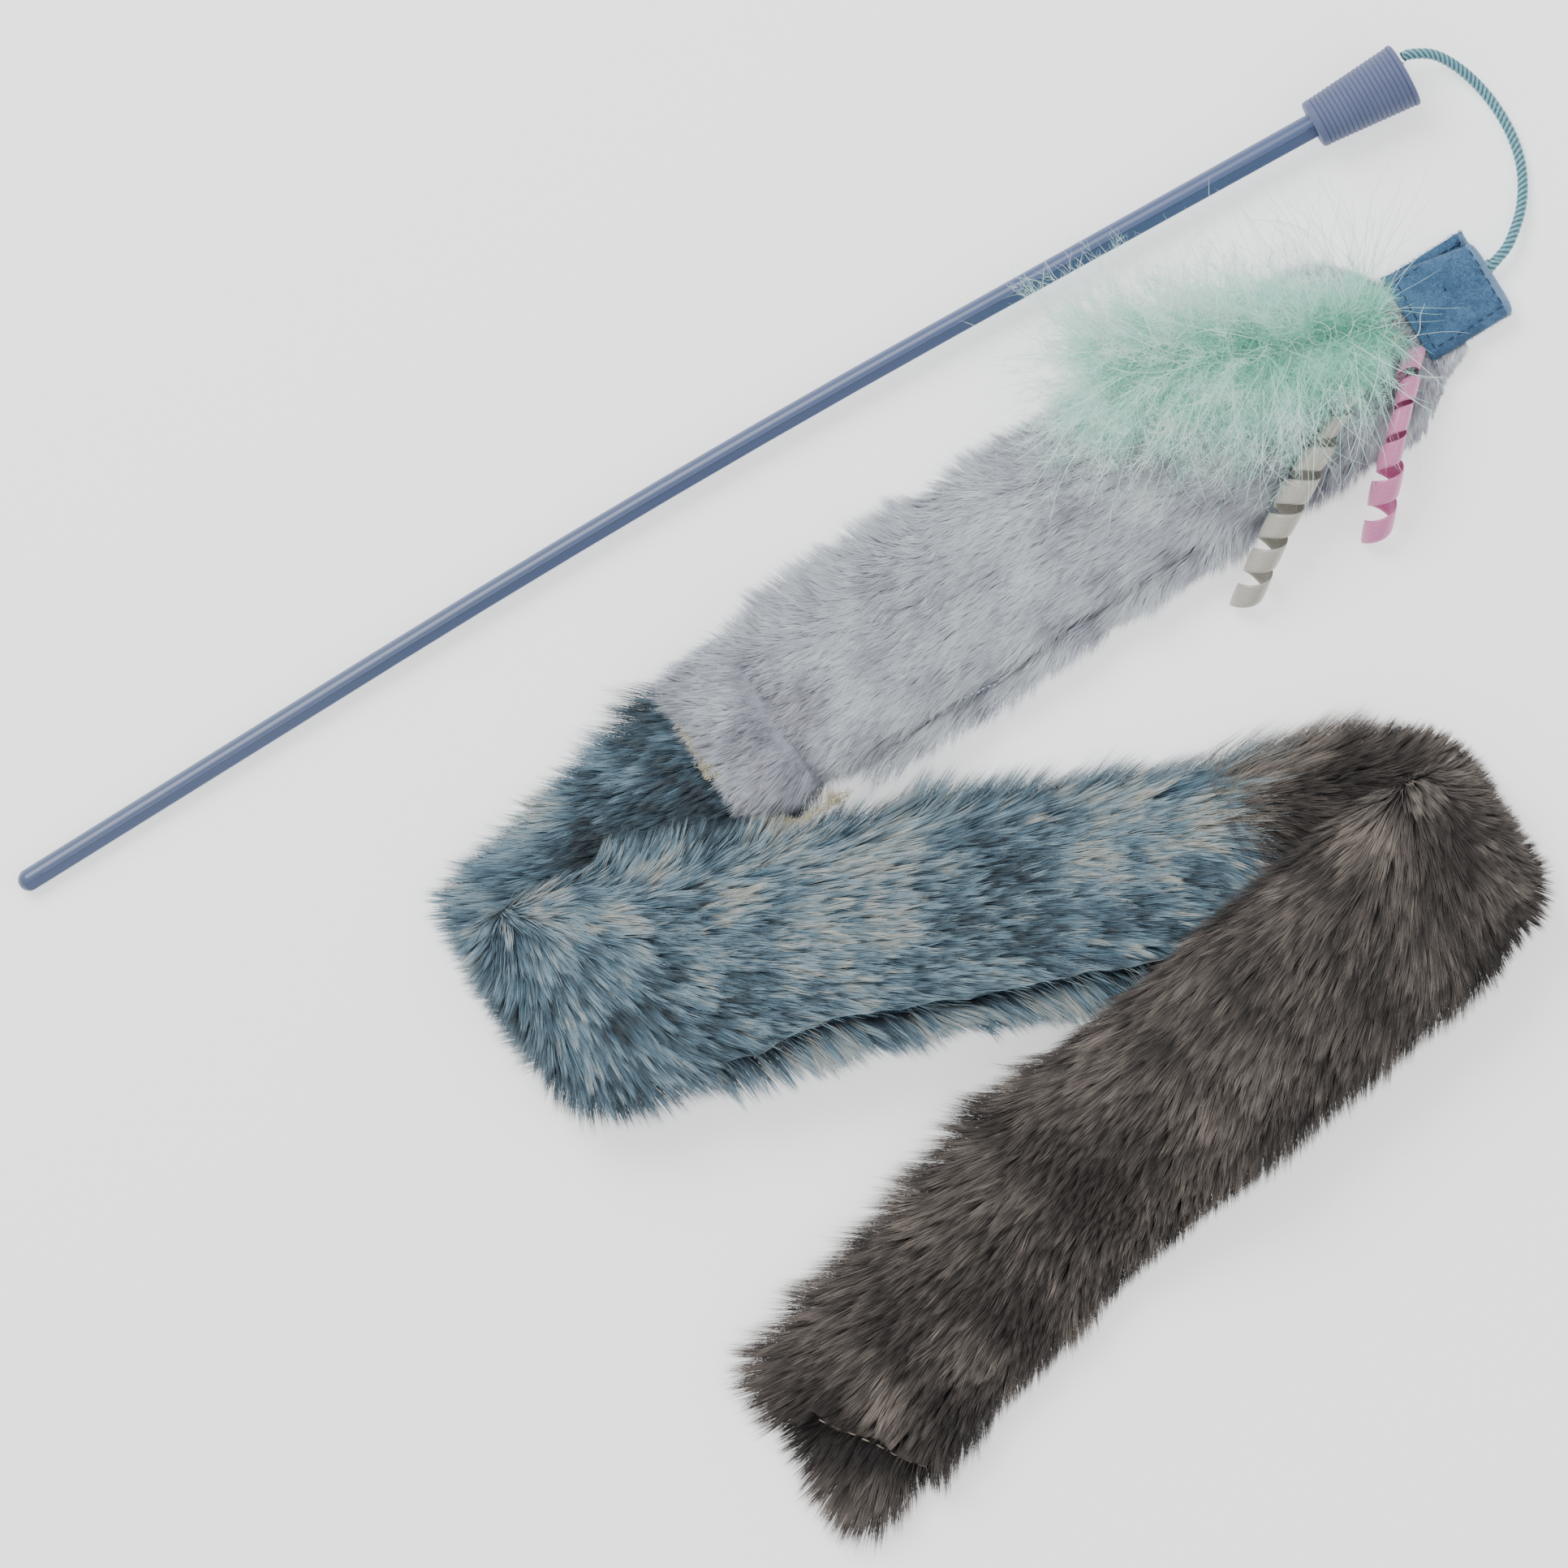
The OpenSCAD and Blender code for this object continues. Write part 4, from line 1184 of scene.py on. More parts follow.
class WAND_OT_felt(bpy.types.Operator):
    """Makes the folded felt tab, its lockstitches and its loose fibres"""

    bl_idname = "wand.felt"
    bl_label = "Felt tab"

    def execute(self, context):
        settings = context.scene.wand_felt
        # Needled acrylic felt: matted short fibres in two blues, no weave, soft edge
        felt, tree, shader = new_material("acrylic felt, needled", 0.95, 0.15, 0.3)
        place = object_place(tree)
        fibre = noise(tree, place, 1500, 4, 1.5)
        both = compute(tree, "MULTIPLY_ADD", noise(tree, place, 120, 6), 0.8, fibre)
        shade = ramp(
            tree, both, [(0.64, linear("314C68")), (0.90, settings.mid), (1.0, settings.light)])
        # The felt is paler along its fold
        parts = add_node(tree, "ShaderNodeSeparateXYZ", {0: place})
        pale = spread(
            tree, parts.outputs["X"], TAB_HIGH.x - 0.0030, TAB_HIGH.x - 0.0022, 0.5)
        paint(tree, shader, mix(tree, pale, shade, linear("7FA3C6")))
        emboss(tree, shader, fibre, 0.35, 0.0002)

        run = 2 * (FOLD_X - TAB_LOW.x) + FOLD_LENGTH
        across, steps = 40, 90
        grid = np.array([[
            felt_point(run * i / steps, math.sin((j / across - 0.5) * math.pi), run)
            for j in range(across + 1)] for i in range(steps + 1)])
        mesh = thick_sheet("felt_leaves", grid, settings.thickness)
        tab = new_piece("felt_leaves", mesh, felt, "lure_head", "felt", ["felt_tab"])
        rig.sheet(tab, flat=(2 * TAB_HALF, run), held="folded", rests_on=["tab_knot"])

        thread = thread_material("polyester thread, navy", settings.thread, linear("24385A"))
        rng = np.random.default_rng(71)
        low_y, high_y, inset = TAB_LOW.y, TAB_HIGH.y, settings.inset
        left_x, right_x = TAB_LOW.x + inset, TAB_HIGH.x - 0.0026
        rows = [
            [(right_x, low_y + inset), (left_x, low_y + inset)],
            [(left_x, low_y + inset), (left_x + 0.0004, high_y - inset - 0.0004)],
            [(left_x, high_y - inset - 0.0003), (right_x - 0.0006, high_y - inset - 0.0004)],
            [(right_x, high_y - inset - 0.0004), (right_x + 0.0001, low_y + inset)],
        ]
        stitches = []
        for row in rows:
            stitches += seam_stitches(row, settings.stitch, 0.72, felt_top, rng)
        # The crossing stitches at the fold's upper corner, and the tack in the middle
        x, y = right_x, high_y - inset
        for dx, dy, ex, ey in ((0, 0, -2, -1), (-1, 0.5, -1.2, -1.4), (-1.8, 0.2, 0.4, -0.8)):
            stitches.append((
                (x + dx / 1000, y + dy / 1000, felt_top(x + dx / 1000, y + dy / 1000)),
                (x + ex / 1000, y + ey / 1000, felt_top(x + ex / 1000, y + ey / 1000))))
        x, y = 0.417, -0.068
        for dx, dy in ((0.0008, 0.0002), (0.0006, -0.0004), (0.0007, 0.0005)):
            stitches.append(((x, y, felt_top(x, y)), (x + dx, y + dy, felt_top(x, y))))
        mesh = stitch_mesh("felt_stitching", stitches, 0.00017)
        new_piece("felt_stitching", mesh, thread, "lure_head", "felt")

        # Loose fibres that soften the felt's faces and edges
        fuzz = hair_material(
            "acrylic felt fibre", tuple(settings.mid),
            [(0.0, linear("35516F")), (0.5, tuple(settings.mid)), (1.0, tuple(settings.light))],
            (0.0, 1.0), 0.95, 0.1)
        normal = grid_normals(grid)
        middle = grid.mean(axis=(0, 1))
        count = 3600
        i = rng.integers(0, steps + 1, count)
        j = np.where(
            rng.random(count) < 0.4, rng.choice([0, across], count),
            rng.integers(0, across + 1, count))
        outward = normal[i, j]
        outward = outward * np.sign(((grid[i, j] - middle) * outward).sum(1, keepdims=True))
        roots = grid[i, j] + outward * settings.thickness * 0.45 + rng.normal(0, 0.0002, (count, 3))
        lay = unit(rng.normal(size=(count, 3)))
        lay = on_surface(lay - (lay * outward).sum(1, keepdims=True) * outward, outward)
        mesh = pile(
            "felt_fuzz", roots, outward, lay, rng.uniform(0.0005, 0.0014, count),
            np.full(count, 0.00007), np.full(count, 0.35), rng.uniform(0.2, 0.9, count), 72,
            tuft=0.5, pull=0.2, messy=0.4)
        new_piece("felt_fuzz", mesh, fuzz, "lure_head", "felt")
        return {"FINISHED"}


# How the pile lies, judged from the photograph. A mark: X and Y in millimetres, heading
# in degrees, tone from 0 (dark) to 1 (pale), lift in degrees
# Low tones are partly the fur's own darker patches and partly painted shade: in the folds' valleys and hollows, in the
# dent, and where the ribbons shade the grey pile
GREY_MARKS = [
    (409, -57, 158, 0.45, 20), (395, -44, 118, 0.66, 22), (340, -31, 138, 0.66, 20),
    (315, -29, 120, 0.66, 24), (283, -38, 118, 0.67, 24), (255, -41, 118, 0.72, 24),
    (229, -41, 118, 0.69, 24), (207, -46, 120, 0.69, 24), (367, -74, -179, 0.45, 24),
    (340, -73, -180, 0.59, 24), (314, -73, -180, 0.62, 24), (293, -74, -180, 0.44, 30),
    (276, -70, -178, 0.67, 24), (249, -64, -180, 0.41, 32), (251, -81, -178, 0.51, 28),
    (228, -67, 176, 0.64, 24), (210, -71, -180, 0.28, 22), (206, -61, 171, 0.41, 22),
    (346, -90, -177, 0.30, 22), (313, -88, -177, 0.46, 22), (288, -91, -178, 0.51, 22),
    (259, -92, -178, 0.58, 22), (232, -91, -176, 0.64, 22), (209, -94, -170, 0.60, 22),
    (393, -95, -132, 0.46, 20), (409, -87, -122, 0.50, 20), (378, -100, -135, 0.42, 22),
    (336, -98, -130, 0.67, 26), (311, -100, -130, 0.70, 26), (284, -101, -130, 0.71, 26),
    (261, -103, -132, 0.73, 26), (238, -103, -134, 0.69, 26), (217, -106, -137, 0.68, 26),
    (202, -106, -142, 0.62, 24), (392, -84, -152, 0.38, 24), (363, -101, -142, 0.22, 24),
    (189, -56, 148, 0.45, 24), (182, -57, 140, 0.66, 20), (189, -74, 174, 0.25, 34),
    (181, -73, 164, 0.40, 28), (187, -89, -170, 0.32, 28), (195, -97, -156, 0.38, 24),
    (175, -62, 154, 0.56, 20), (184, -82, -177, 0.46, 22), (197, -100, -142, 0.46, 22),
    (273, -55, 176, 0.72, 22), (340, -52, 168, 0.62, 22), (224, -83, -178, 0.60, 22)]
BLUE_UPPER_MARKS = [
    (156, -45, 116, 0.72, 22), (134, -51, 116, 0.72, 22), (114, -57, 128, 0.72, 20),
    (96, -66, 148, 0.72, 18), (155, -55, 136, 0.66, 22), (137, -60, 146, 0.72, 22),
    (121, -64, 152, 0.72, 20), (164, -61, 164, 0.29, 30), (151, -67, 166, 0.23, 36),
    (137, -73, 166, 0.20, 38), (172, -77, 173, 0.19, 36), (158, -79, 168, 0.17, 38),
    (123, -75, 158, 0.33, 34), (175, -89, 173, 0.16, 36), (176, -54, 150, 0.40, 24),
    (183, -97, 178, 0.16, 30), (112, -68, 152, 0.72, 20)]
BLUE_LOWER_MARKS = [
    (96, -72, 158, 0.70, 18), (95, -81, -167, 0.52, 18), (97, -91, -144, 0.46, 20),
    (95, -105, -132, 0.44, 20), (93, -120, -130, 0.43, 20), (93, -132, -130, 0.44, 20),
    (104, -141, -114, 0.45, 20), (109, -86, -104, 0.55, 20), (109, -101, -92, 0.45, 22),
    (107, -118, -94, 0.47, 24), (107, -132, -92, 0.41, 24), (111, -140, -77, 0.46, 24),
    (119, -87, -57, 0.61, 20), (121, -101, -72, 0.48, 24), (121, -119, -76, 0.39, 26),
    (122, -138, -62, 0.39, 26), (130, -92, -32, 0.64, 24), (143, -100, -30, 0.56, 28),
    (135, -113, -42, 0.42, 28), (134, -129, -47, 0.37, 28), (162, -105, -27, 0.70, 28),
    (154, -118, -32, 0.51, 30), (150, -131, -37, 0.41, 34), (178, -111, -24, 0.77, 28),
    (170, -124, -32, 0.73, 30), (162, -137, -37, 0.60, 30), (197, -119, -24, 0.82, 28),
    (189, -132, -30, 0.85, 30), (181, -145, -32, 0.53, 32), (203, -132, -27, 0.48, 32),
    (193, -149, -32, 0.53, 30), (220, -134, -24, 0.35, 28), (211, -149, -30, 0.35, 30),
    (204, -160, -32, 0.50, 30), (235, -136, -22, 0.39, 28), (226, -153, -27, 0.31, 30),
    (252, -139, -20, 0.74, 26), (244, -152, -27, 0.77, 30), (237, -166, -32, 0.42, 30),
    (268, -142, -17, 0.76, 26), (260, -155, -27, 0.80, 30), (254, -167, -30, 0.41, 32),
    (277, -151, -24, 0.81, 26), (268, -167, -32, 0.45, 30), (284, -159, -27, 0.94, 24),
    (298, -159, -27, 0.66, 26), (296, -170, -42, 0.60, 24), (280, -170, -57, 0.54, 24),
    (116, -80, -7, 0.68, 20), (138, -83, 36, 0.58, 26), (154, -87, 36, 0.58, 26),
    (173, -93, 34, 0.58, 26), (195, -99, 30, 0.60, 26), (217, -107, 28, 0.60, 26),
    (239, -116, 28, 0.58, 26), (260, -126, 26, 0.54, 26), (282, -134, 24, 0.57, 26),
    (294, -143, -12, 0.59, 30), (123, -147, -87, 0.56, 26), (138, -149, -84, 0.64, 28),
    (160, -155, -80, 0.70, 28), (182, -163, -76, 0.71, 28), (204, -171, -74, 0.70, 28),
    (227, -179, -74, 0.69, 28), (244, -186, -74, 0.52, 28)]
BROWN_UPPER_MARKS = [
    (302, -146, 18, 0.92, 24), (317, -148, 24, 1.00, 24), (331, -153, 30, 0.97, 24),
    (340, -156, 38, 0.95, 22), (303, -154, -17, 0.84, 24), (316, -155, -8, 0.98, 26),
    (321, -163, -22, 0.11, 40), (334, -163, 10, 0.31, 30), (324, -171, -32, 0.07, 44),
    (308, -165, -32, 0.10, 40), (301, -169, -52, 0.10, 36), (326, -156, 3, 0.76, 26)]
BROWN_LOWER_MARKS = [
    (345, -159, 43, 0.64, 20), (352, -167, 23, 0.62, 20), (357, -177, 8, 0.56, 20),
    (358, -191, -12, 0.50, 20), (357, -204, -32, 0.44, 20), (353, -218, -57, 0.26, 20),
    (349, -225, -67, 0.19, 20), (345, -173, 28, 0.62, 20), (349, -182, -17, 0.55, 22),
    (348, -193, -47, 0.50, 24), (344, -206, -82, 0.34, 26), (337, -178, -92, 0.66, 20),
    (330, -180, -142, 0.64, 18), (336, -189, -107, 0.56, 22), (324, -198, -127, 0.48, 22),
    (330, -210, -107, 0.18, 24), (319, -178, -180, 0.61, 16), (308, -185, -174, 0.43, 18),
    (301, -176, 170, 0.49, 14), (308, -205, -142, 0.43, 22), (284, -182, 176, 0.39, 16),
    (335, -226, -102, 0.11, 24), (321, -236, -130, 0.32, 18), (305, -236, -136, 0.35, 18),
    (262, -203, -162, 0.49, 24), (244, -195, -180, 0.52, 20), (224, -198, 176, 0.50, 20),
    (213, -187, 150, 0.56, 20), (191, -192, 140, 0.54, 22), (170, -197, 134, 0.56, 22),
    (150, -200, 131, 0.56, 22), (128, -207, 130, 0.56, 22), (106, -214, 132, 0.52, 22),
    (207, -210, -162, 0.33, 44), (210, -227, -152, 0.04, 48), (194, -217, -167, 0.42, 40),
    (231, -216, -157, 0.46, 34), (248, -218, -142, 0.46, 34), (236, -237, -137, 0.42, 36),
    (221, -246, -137, 0.34, 36), (179, -211, -179, 0.50, 30), (158, -216, 178, 0.45, 30),
    (170, -226, -170, 0.44, 34), (184, -232, -152, 0.45, 36), (195, -245, -138, 0.40, 34),
    (184, -256, -128, 0.40, 30), (137, -221, 173, 0.45, 28), (150, -229, -172, 0.33, 36),
    (163, -237, -164, 0.29, 36), (174, -244, -142, 0.22, 40), (116, -226, 173, 0.39, 26),
    (127, -237, -177, 0.33, 30), (132, -244, -152, 0.60, 30), (139, -253, -158, 0.11, 44),
    (155, -251, -154, 0.35, 36), (165, -258, -142, 0.40, 32), (136, -266, -142, 0.34, 32),
    (147, -269, -134, 0.40, 28), (102, -225, 163, 0.21, 26), (108, -239, -180, 0.09, 30),
    (118, -253, -162, 0.11, 30), (96, -226, 163, 0.52, 20), (97, -238, -167, 0.51, 20),
    (104, -251, -160, 0.51, 20), (111, -263, -142, 0.46, 20), (118, -273, -127, 0.46, 20),
    (127, -275, -107, 0.44, 20), (137, -274, -102, 0.42, 22), (286, -203, -152, 0.37, 24),
    (287, -222, -142, 0.41, 30), (261, -227, -140, 0.44, 34), (273, -242, -130, 0.38, 30)]
GREY_SEAM = [(328.6, -91.6), (311.7, -91.4), (287.5, -92.9), (274.7, -91.9), (256.9, -95.0),
    (244.9, -93.6), (230.6, -93.2), (212.1, -95.4)]
GREY_DENT = [(198.0, -54.7), (199.2, -64.2), (199.2, -75.3), (201.6, -86.0), (205.6, -95.1)]
BLUE_SEAM = [(132.9, -143.2), (152.5, -147.7), (162.1, -147.6), (173.9, -151.0), (187.5, -157.6),
    (211.9, -167.5), (251.0, -182.8), (272.4, -190.8)]
BROWN_HEM = [(104.8, -237.1), (109.7, -245.4), (116.3, -254.5), (121.8, -264.0), (126.6, -269.1)]
# Edges where the pile stands out further, or less far, than elsewhere: X and Y in millimetres
GREY_LOW_EDGE = [(393.1, -93.8), (369.8, -92.2), (336.8, -91.7), (310.9, -92.5), (276.6, -93.2),
    (257.8, -96.6), (240.6, -98.7), (225.5, -97.2), (205.0, -99.0)]
GREY_TOP_EDGE = [(215.0, -44.8), (250.0, -42.9), (283.5, -42.3), (301.7, -40.1), (318.7, -39.2)]
BLUE_TOP_EDGE = [(202.0, -110.9), (223.6, -115.2), (244.1, -124.2), (265.2, -133.2),
    (292.3, -145.0)]
BLUE_LOW_EDGE = [(115.6, -137.4), (134.2, -146.1), (160.1, -150.5), (182.8, -159.0),
    (204.6, -167.2), (219.6, -171.3), (246.0, -183.0)]
BLUE_END = [(289.0, -151.0), (289.5, -170.0)]
NECK_INNER = [(403.0, -80.5), (396.0, -85.0), (388.0, -90.0), (377.0, -92.5)]
NECK_EDGE = [(403.6, -90.4), (397.0, -94.6), (391.0, -97.4), (378.0, -97.4)]
BESIDE_TAB = [(415.0, -82.9), (409.2, -82.9), (403.4, -82.9)]
BESIDE_TAB_EDGE = [(413.6, -83.6), (408.2, -86.2), (403.0, -90.2)]
BROWN_TOP_EDGE = [(299.1, -149.4), (306.0, -151.5), (313.1, -153.2), (321.0, -155.5)]
BROWN_FOLD_EDGE = [(337.5, -159.0), (346.5, -168.5), (348.7, -183.5), (347.7, -201.0),
    (346.4, -215.9), (335.6, -227.6)]
BROWN_LEFT_EDGE = [(211.0, -189.8), (184.4, -199.4), (148.6, -207.7), (114.5, -216.8),
    (103.1, -219.5)]
BROWN_RIGHT_EDGE = [(227.9, -242.0), (208.3, -243.1), (186.0, -249.4), (152.8, -258.3)]
# The beige edge of the grey tube's backing, where it was cut
RAW_EDGE = [(175.7, -58.5), (175.9, -67.4), (177.4, -72.3), (178.2, -82.0), (180.0, -89.7),
    (184.3, -95.5), (191.9, -100.3), (200.9, -102.7), (205.2, -104.3)]


class WAND_OT_grey_fur(bpy.types.Operator):
    """Makes the grey fur tube: backing and short fine pile"""

    bl_idname = "wand.grey_fur"
    bl_label = "Grey fur"

    def execute(self, context):
        settings = context.scene.wand_fur
        # Short acrylic plush, dyed pale grey: fine, soft tips, lilac and darker clouds; the darker roots are painted
        # shade deep in the pile
        hair = hair_material(
            "acrylic plush hair, pale grey", linear("969CA6"),
            [(0.0, linear("737584")), (0.3, linear("A2A3B1")), (0.55, settings.grey),
             (1.0, linear("EAF0F2"))], (0.0, 0.6), tip=linear("F0F4F6"), tip_share=0.35)
        # The backing is painted as dark as the depth of the pile, so that where the pile parts it shows as shade
        back = knit_material("knitted backing, grey", linear("858B96"), linear("A2A7B0"))
        skin_piece("grey_fur_backing", "fur_grey", back, "lure_head", "grey_fur")
        fur(
            "grey_fur", "fur_grey", GREY_MARKS, hair, "lure_head", "grey_fur",
            settings.grey_pile, settings.grey_density, 11, width=0.00016, shade=0.10, under=0.25,
            keep=lambda p: (p[:, 0] < TAB_LOW.x + 0.002) | (p[:, 1] < -0.0795),
            seams=[GREY_SEAM], dents=[GREY_DENT], rolls=[(GREY_SEAM, 1, 60)],
            slopes=[(NECK_INNER, NECK_EDGE, 6.5, 0.5, 4000),
                    (BESIDE_TAB, BESIDE_TAB_EDGE, 2.2, -0.5, 1100)],
            edges=[(GREY_LOW_EDGE, 6, 0.35), (GREY_TOP_EDGE, 6, 0.45), (RAW_EDGE, 3, -0.45),
                   (NECK_EDGE, 6, -0.5), (BESIDE_TAB_EDGE, 5, -0.4)],
            tuft=0.08, pull=0.2, messy=0.16, roll=0.2, mottle=0.08, seam_gap=0.0002, crossing=0.6)

        # Where the tube was cut, its beige backing frays out under the pile
        rng = np.random.default_rng(15)
        fray = hair_material(
            "backing yarn, undyed", linear("8F876E"),
            [(0.0, linear("A89F82")), (0.5, linear("C9C2A6")), (1.0, linear("E8E4D3"))], (0.0, 0.5))
        route, _ = even_route(np.array([(x, y, 0) for x, y in in_metres(RAW_EDGE)]), 0.0001)
        count, spot_count = 2300, 260
        pick = rng.integers(0, len(route), count)
        roots = route[pick] + rng.normal(0, 0.0004, (count, 3))
        # Three places where more of it shows
        spots = in_metres([(175.6, -72.6), (186.0, -97.0), (200.0, -98.0)])
        for n, (spot, size) in enumerate(zip(spots, (1.5, 1.2, 1.2))):
            own = np.arange(n * spot_count, (n + 1) * spot_count)
            scattered = rng.normal(0, size / 1000, (spot_count, 3)) * (0.6, 1.1, 0)
            roots[own] = (*spot, 0) + scattered
            pick[own] = np.hypot(*(route[:, :2] - spot).T).argmin()
        roots[:, 1] = np.maximum(roots[:, 1], rng.uniform(-0.0995, -0.0975, count))
        roots[:, 2] = rng.uniform(0.0090, 0.0115, count)
        way = unit(np.gradient(route, axis=0))[pick]
        out = np.cross(way, (0, 0, 1.0))
        lay = unit(out + 0.9 * rng.normal(size=(count, 3)) * (1, 1, 0))
        mesh = pile(
            "grey_fur_cut_edge", roots, np.tile((0, 0, 1.0), (count, 1)), lay,
            rng.uniform(0.001, 0.0028, count), np.full(count, 0.00013), np.full(count, 0.35),
            rng.uniform(0.1, 0.95, count), 16, tuft=0.12, pull=0.5, messy=0.4)
        new_piece("grey_fur_cut_edge", mesh, fray, "lure_head", "grey_fur")

        # The side seam's thread shows where the pile parts
        thread = thread_material("polyester thread, pale blue", linear("8FA3B5"), linear("C4D0DA"))
        stitches = seam_stitches(
            in_metres(GREY_SEAM[4:6]), 0.0017, 0.6, pile_height("fur_grey", 0.0012), rng)
        mesh = stitch_mesh("grey_seam_thread", stitches, THREAD_RADIUS)
        new_piece("grey_seam_thread", mesh, thread, "lure_head", "grey_fur")
        return {"FINISHED"}


class WAND_OT_blue_fur(bpy.types.Operator):
    """Makes the blue fur tube on both sides of the left fold"""

    bl_idname = "wand.blue_fur"
    bl_label = "Blue fur"

    def execute(self, context):
        settings = context.scene.wand_fur
        # Long acrylic pile, dyed teal with bleached tips over navy roots; the roots' darkness is partly painted shade
        # deep in the pile
        hair = hair_material(
            "acrylic pile hair, blue with pale tips", linear("222B34"),
            [(0.0, linear("28323A")), (0.28, linear("445A68")), (0.48, settings.blue),
             (0.62, linear("83A0B0")), (0.76, linear("98B0BC")), (0.9, linear("A7B2B3")),
             (1.0, linear("C3C5BC"))],
            (0.0, 0.75), tip=linear("D2DADB"), tip_share=0.12)
        # The backing is painted as dark as the depth of the pile, so that where the pile parts it shows as shade
        back = knit_material("knitted backing, navy", linear("24323E"), linear("3A4E5C"))
        sides = [(BLUE_TOP_EDGE, 9, 0.65), (BLUE_LOW_EDGE, 6, 0.15), (BLUE_END, 4, 1.1)]
        corner = [([(160.0, -50.0), (176.0, -52.0)], 5, 0.7)]
        for name, node, body, marks, seams, rolls, short, edges, mottle, seed in (
            ("blue_fur_upper", "fur_blue_upper", "lure_head", BLUE_UPPER_MARKS, (), (), (), corner,
             0.11, 22),
            ("blue_fur_lower", "fur_blue_lower", "middle_stretch", BLUE_LOWER_MARKS, (BLUE_SEAM,),
             [(BLUE_SEAM, -1, 34)], [(104, -76, 7, 0.35)], sides, 0.19, 32),
        ):
            skin_piece(name + "_backing", node, back, body, "blue_fur")
            fur(
                name, node, marks, hair, body, "blue_fur", settings.blue_pile,
                settings.blue_density, seed, seams=seams, rolls=rolls, short=short, edges=edges,
                width=LONG_PILE_WIDTH, tuft=0.09, pull=0.5, mottle=mottle, shade=0.10)
        return {"FINISHED"}


class WAND_OT_brown_fur(bpy.types.Operator):
    """Makes the brown fur tube on both sides of the right fold"""

    bl_idname = "wand.brown_fur"
    bl_label = "Brown fur"

    def execute(self, context):
        settings = context.scene.wand_fur
        # Long acrylic pile, dyed taupe: dusty tips over near-black roots, partly painted shade deep in the pile
        hair = hair_material(
            "acrylic pile hair, taupe", linear("1E1B1B"),
            [(0.0, linear("242121")), (0.30, linear("3F3A38")), (0.55, settings.brown),
             (1.0, linear("978D83"))], (0.0, 0.8), tip=linear("ADA399"), tip_share=0.15)
        # The backing is painted as dark as the depth of the pile, so that where the pile parts it shows as shade
        back = knit_material("knitted backing, dark brown", linear("221E1E"), linear("342F2E"))
        # The pile is worn short along the lower edge of the tail and where the hair parts
        worn = [(338, -176, 8, 0.35), (310, -240, 14, 0.3), (275, -245, 16, 0.4),
                (240, -252, 16, 0.4), (205, -258, 16, 0.35)]
        tail = [(BROWN_LEFT_EDGE, 7, 0.25), (BROWN_RIGHT_EDGE, 9, -0.35),
                (BROWN_FOLD_EDGE, 9, -0.5)]
        for name, node, body, marks, seams, short, edges, seed in (
            ("brown_fur_upper", "fur_brown_upper", "middle_stretch", BROWN_UPPER_MARKS, (), (),
             [(BROWN_TOP_EDGE, 7, 0.6), (BROWN_FOLD_EDGE, 9, -0.5)], 42),
            ("brown_fur_lower", "fur_brown_lower", "tail_stretch", BROWN_LOWER_MARKS,
             (BROWN_HEM,), worn, tail, 52),
        ):
            skin_piece(name + "_backing", node, back, body, "brown_fur")
            fur(
                name, node, marks, hair, body, "brown_fur", settings.brown_pile,
                settings.brown_density, seed, seams=seams, dents=seams, short=short, edges=edges,
                width=LONG_PILE_WIDTH, tuft=0.08, pull=0.42, mottle=0.14, shade=0.11)

        # The hem's thread shows in the groove that it pulls into the pile
        thread = thread_material("polyester thread, sand", linear("6F675B"), linear("A79F90"))
        stitches = seam_stitches(
            in_metres(BROWN_HEM), 0.0042, 0.55, pile_height("fur_brown_lower", 0.0022),
            np.random.default_rng(58))
        mesh = stitch_mesh("tail_hem_thread", stitches, THREAD_RADIUS)
        new_piece("tail_hem_thread", mesh, thread, "tail_stretch", "brown_fur")
        return {"FINISHED"}


# The quill's route in metres, as in the part's source
QUILL_ROOT = np.array([0.4034, -0.068, 0.00355])
QUILL_HEADING = math.radians(155.5)
QUILL_WAY = np.array([math.cos(QUILL_HEADING), math.sin(QUILL_HEADING), 0.0])
QUILL_SHARES = [(0.00, 0.00), (0.06, 0.28), (0.14, 0.58), (0.26, 0.84), (0.42, 1.00), (0.60, 1.02),
                (0.78, 0.96), (0.94, 0.88)]
QUILL_RISE = 0.0153
FEATHER_LENGTH = 0.088
QUILL_SAG = 0.0058
# The quill's end, as a share of the feather's length
QUILL_END = 0.94
# Heights in metres between which the barbs lie, and their haze
BARB_LOW, BARB_TOP = 0.0105, 0.0345
HAZE_LOW, HAZE_TOP = 0.0100, 0.0350
# Length of a usual barbule near the quill, in metres
BARBULE_REACH = 0.0084


def on_quill(share):
    """Points on the quill at these shares of the feather's length."""
    rise = np.interp(share, [s for s, _ in QUILL_SHARES], [r for _, r in QUILL_SHARES])
    base = QUILL_ROOT + QUILL_WAY * (FEATHER_LENGTH * share)[:, None]
    base[:, 1] -= QUILL_SAG * smooth_step(share, 0.0, 0.4)
    base[:, 2] += QUILL_RISE * rise
    return base


def quill_distance(points):
    """Distance of points from the line of the quill, and their share of its length."""
    shares = np.linspace(0, QUILL_END, 48)
    line = on_quill(shares)
    gap = np.linalg.norm(points[:, None, :] - line[None], axis=2)
    return gap.min(1), shares[gap.argmin(1)]


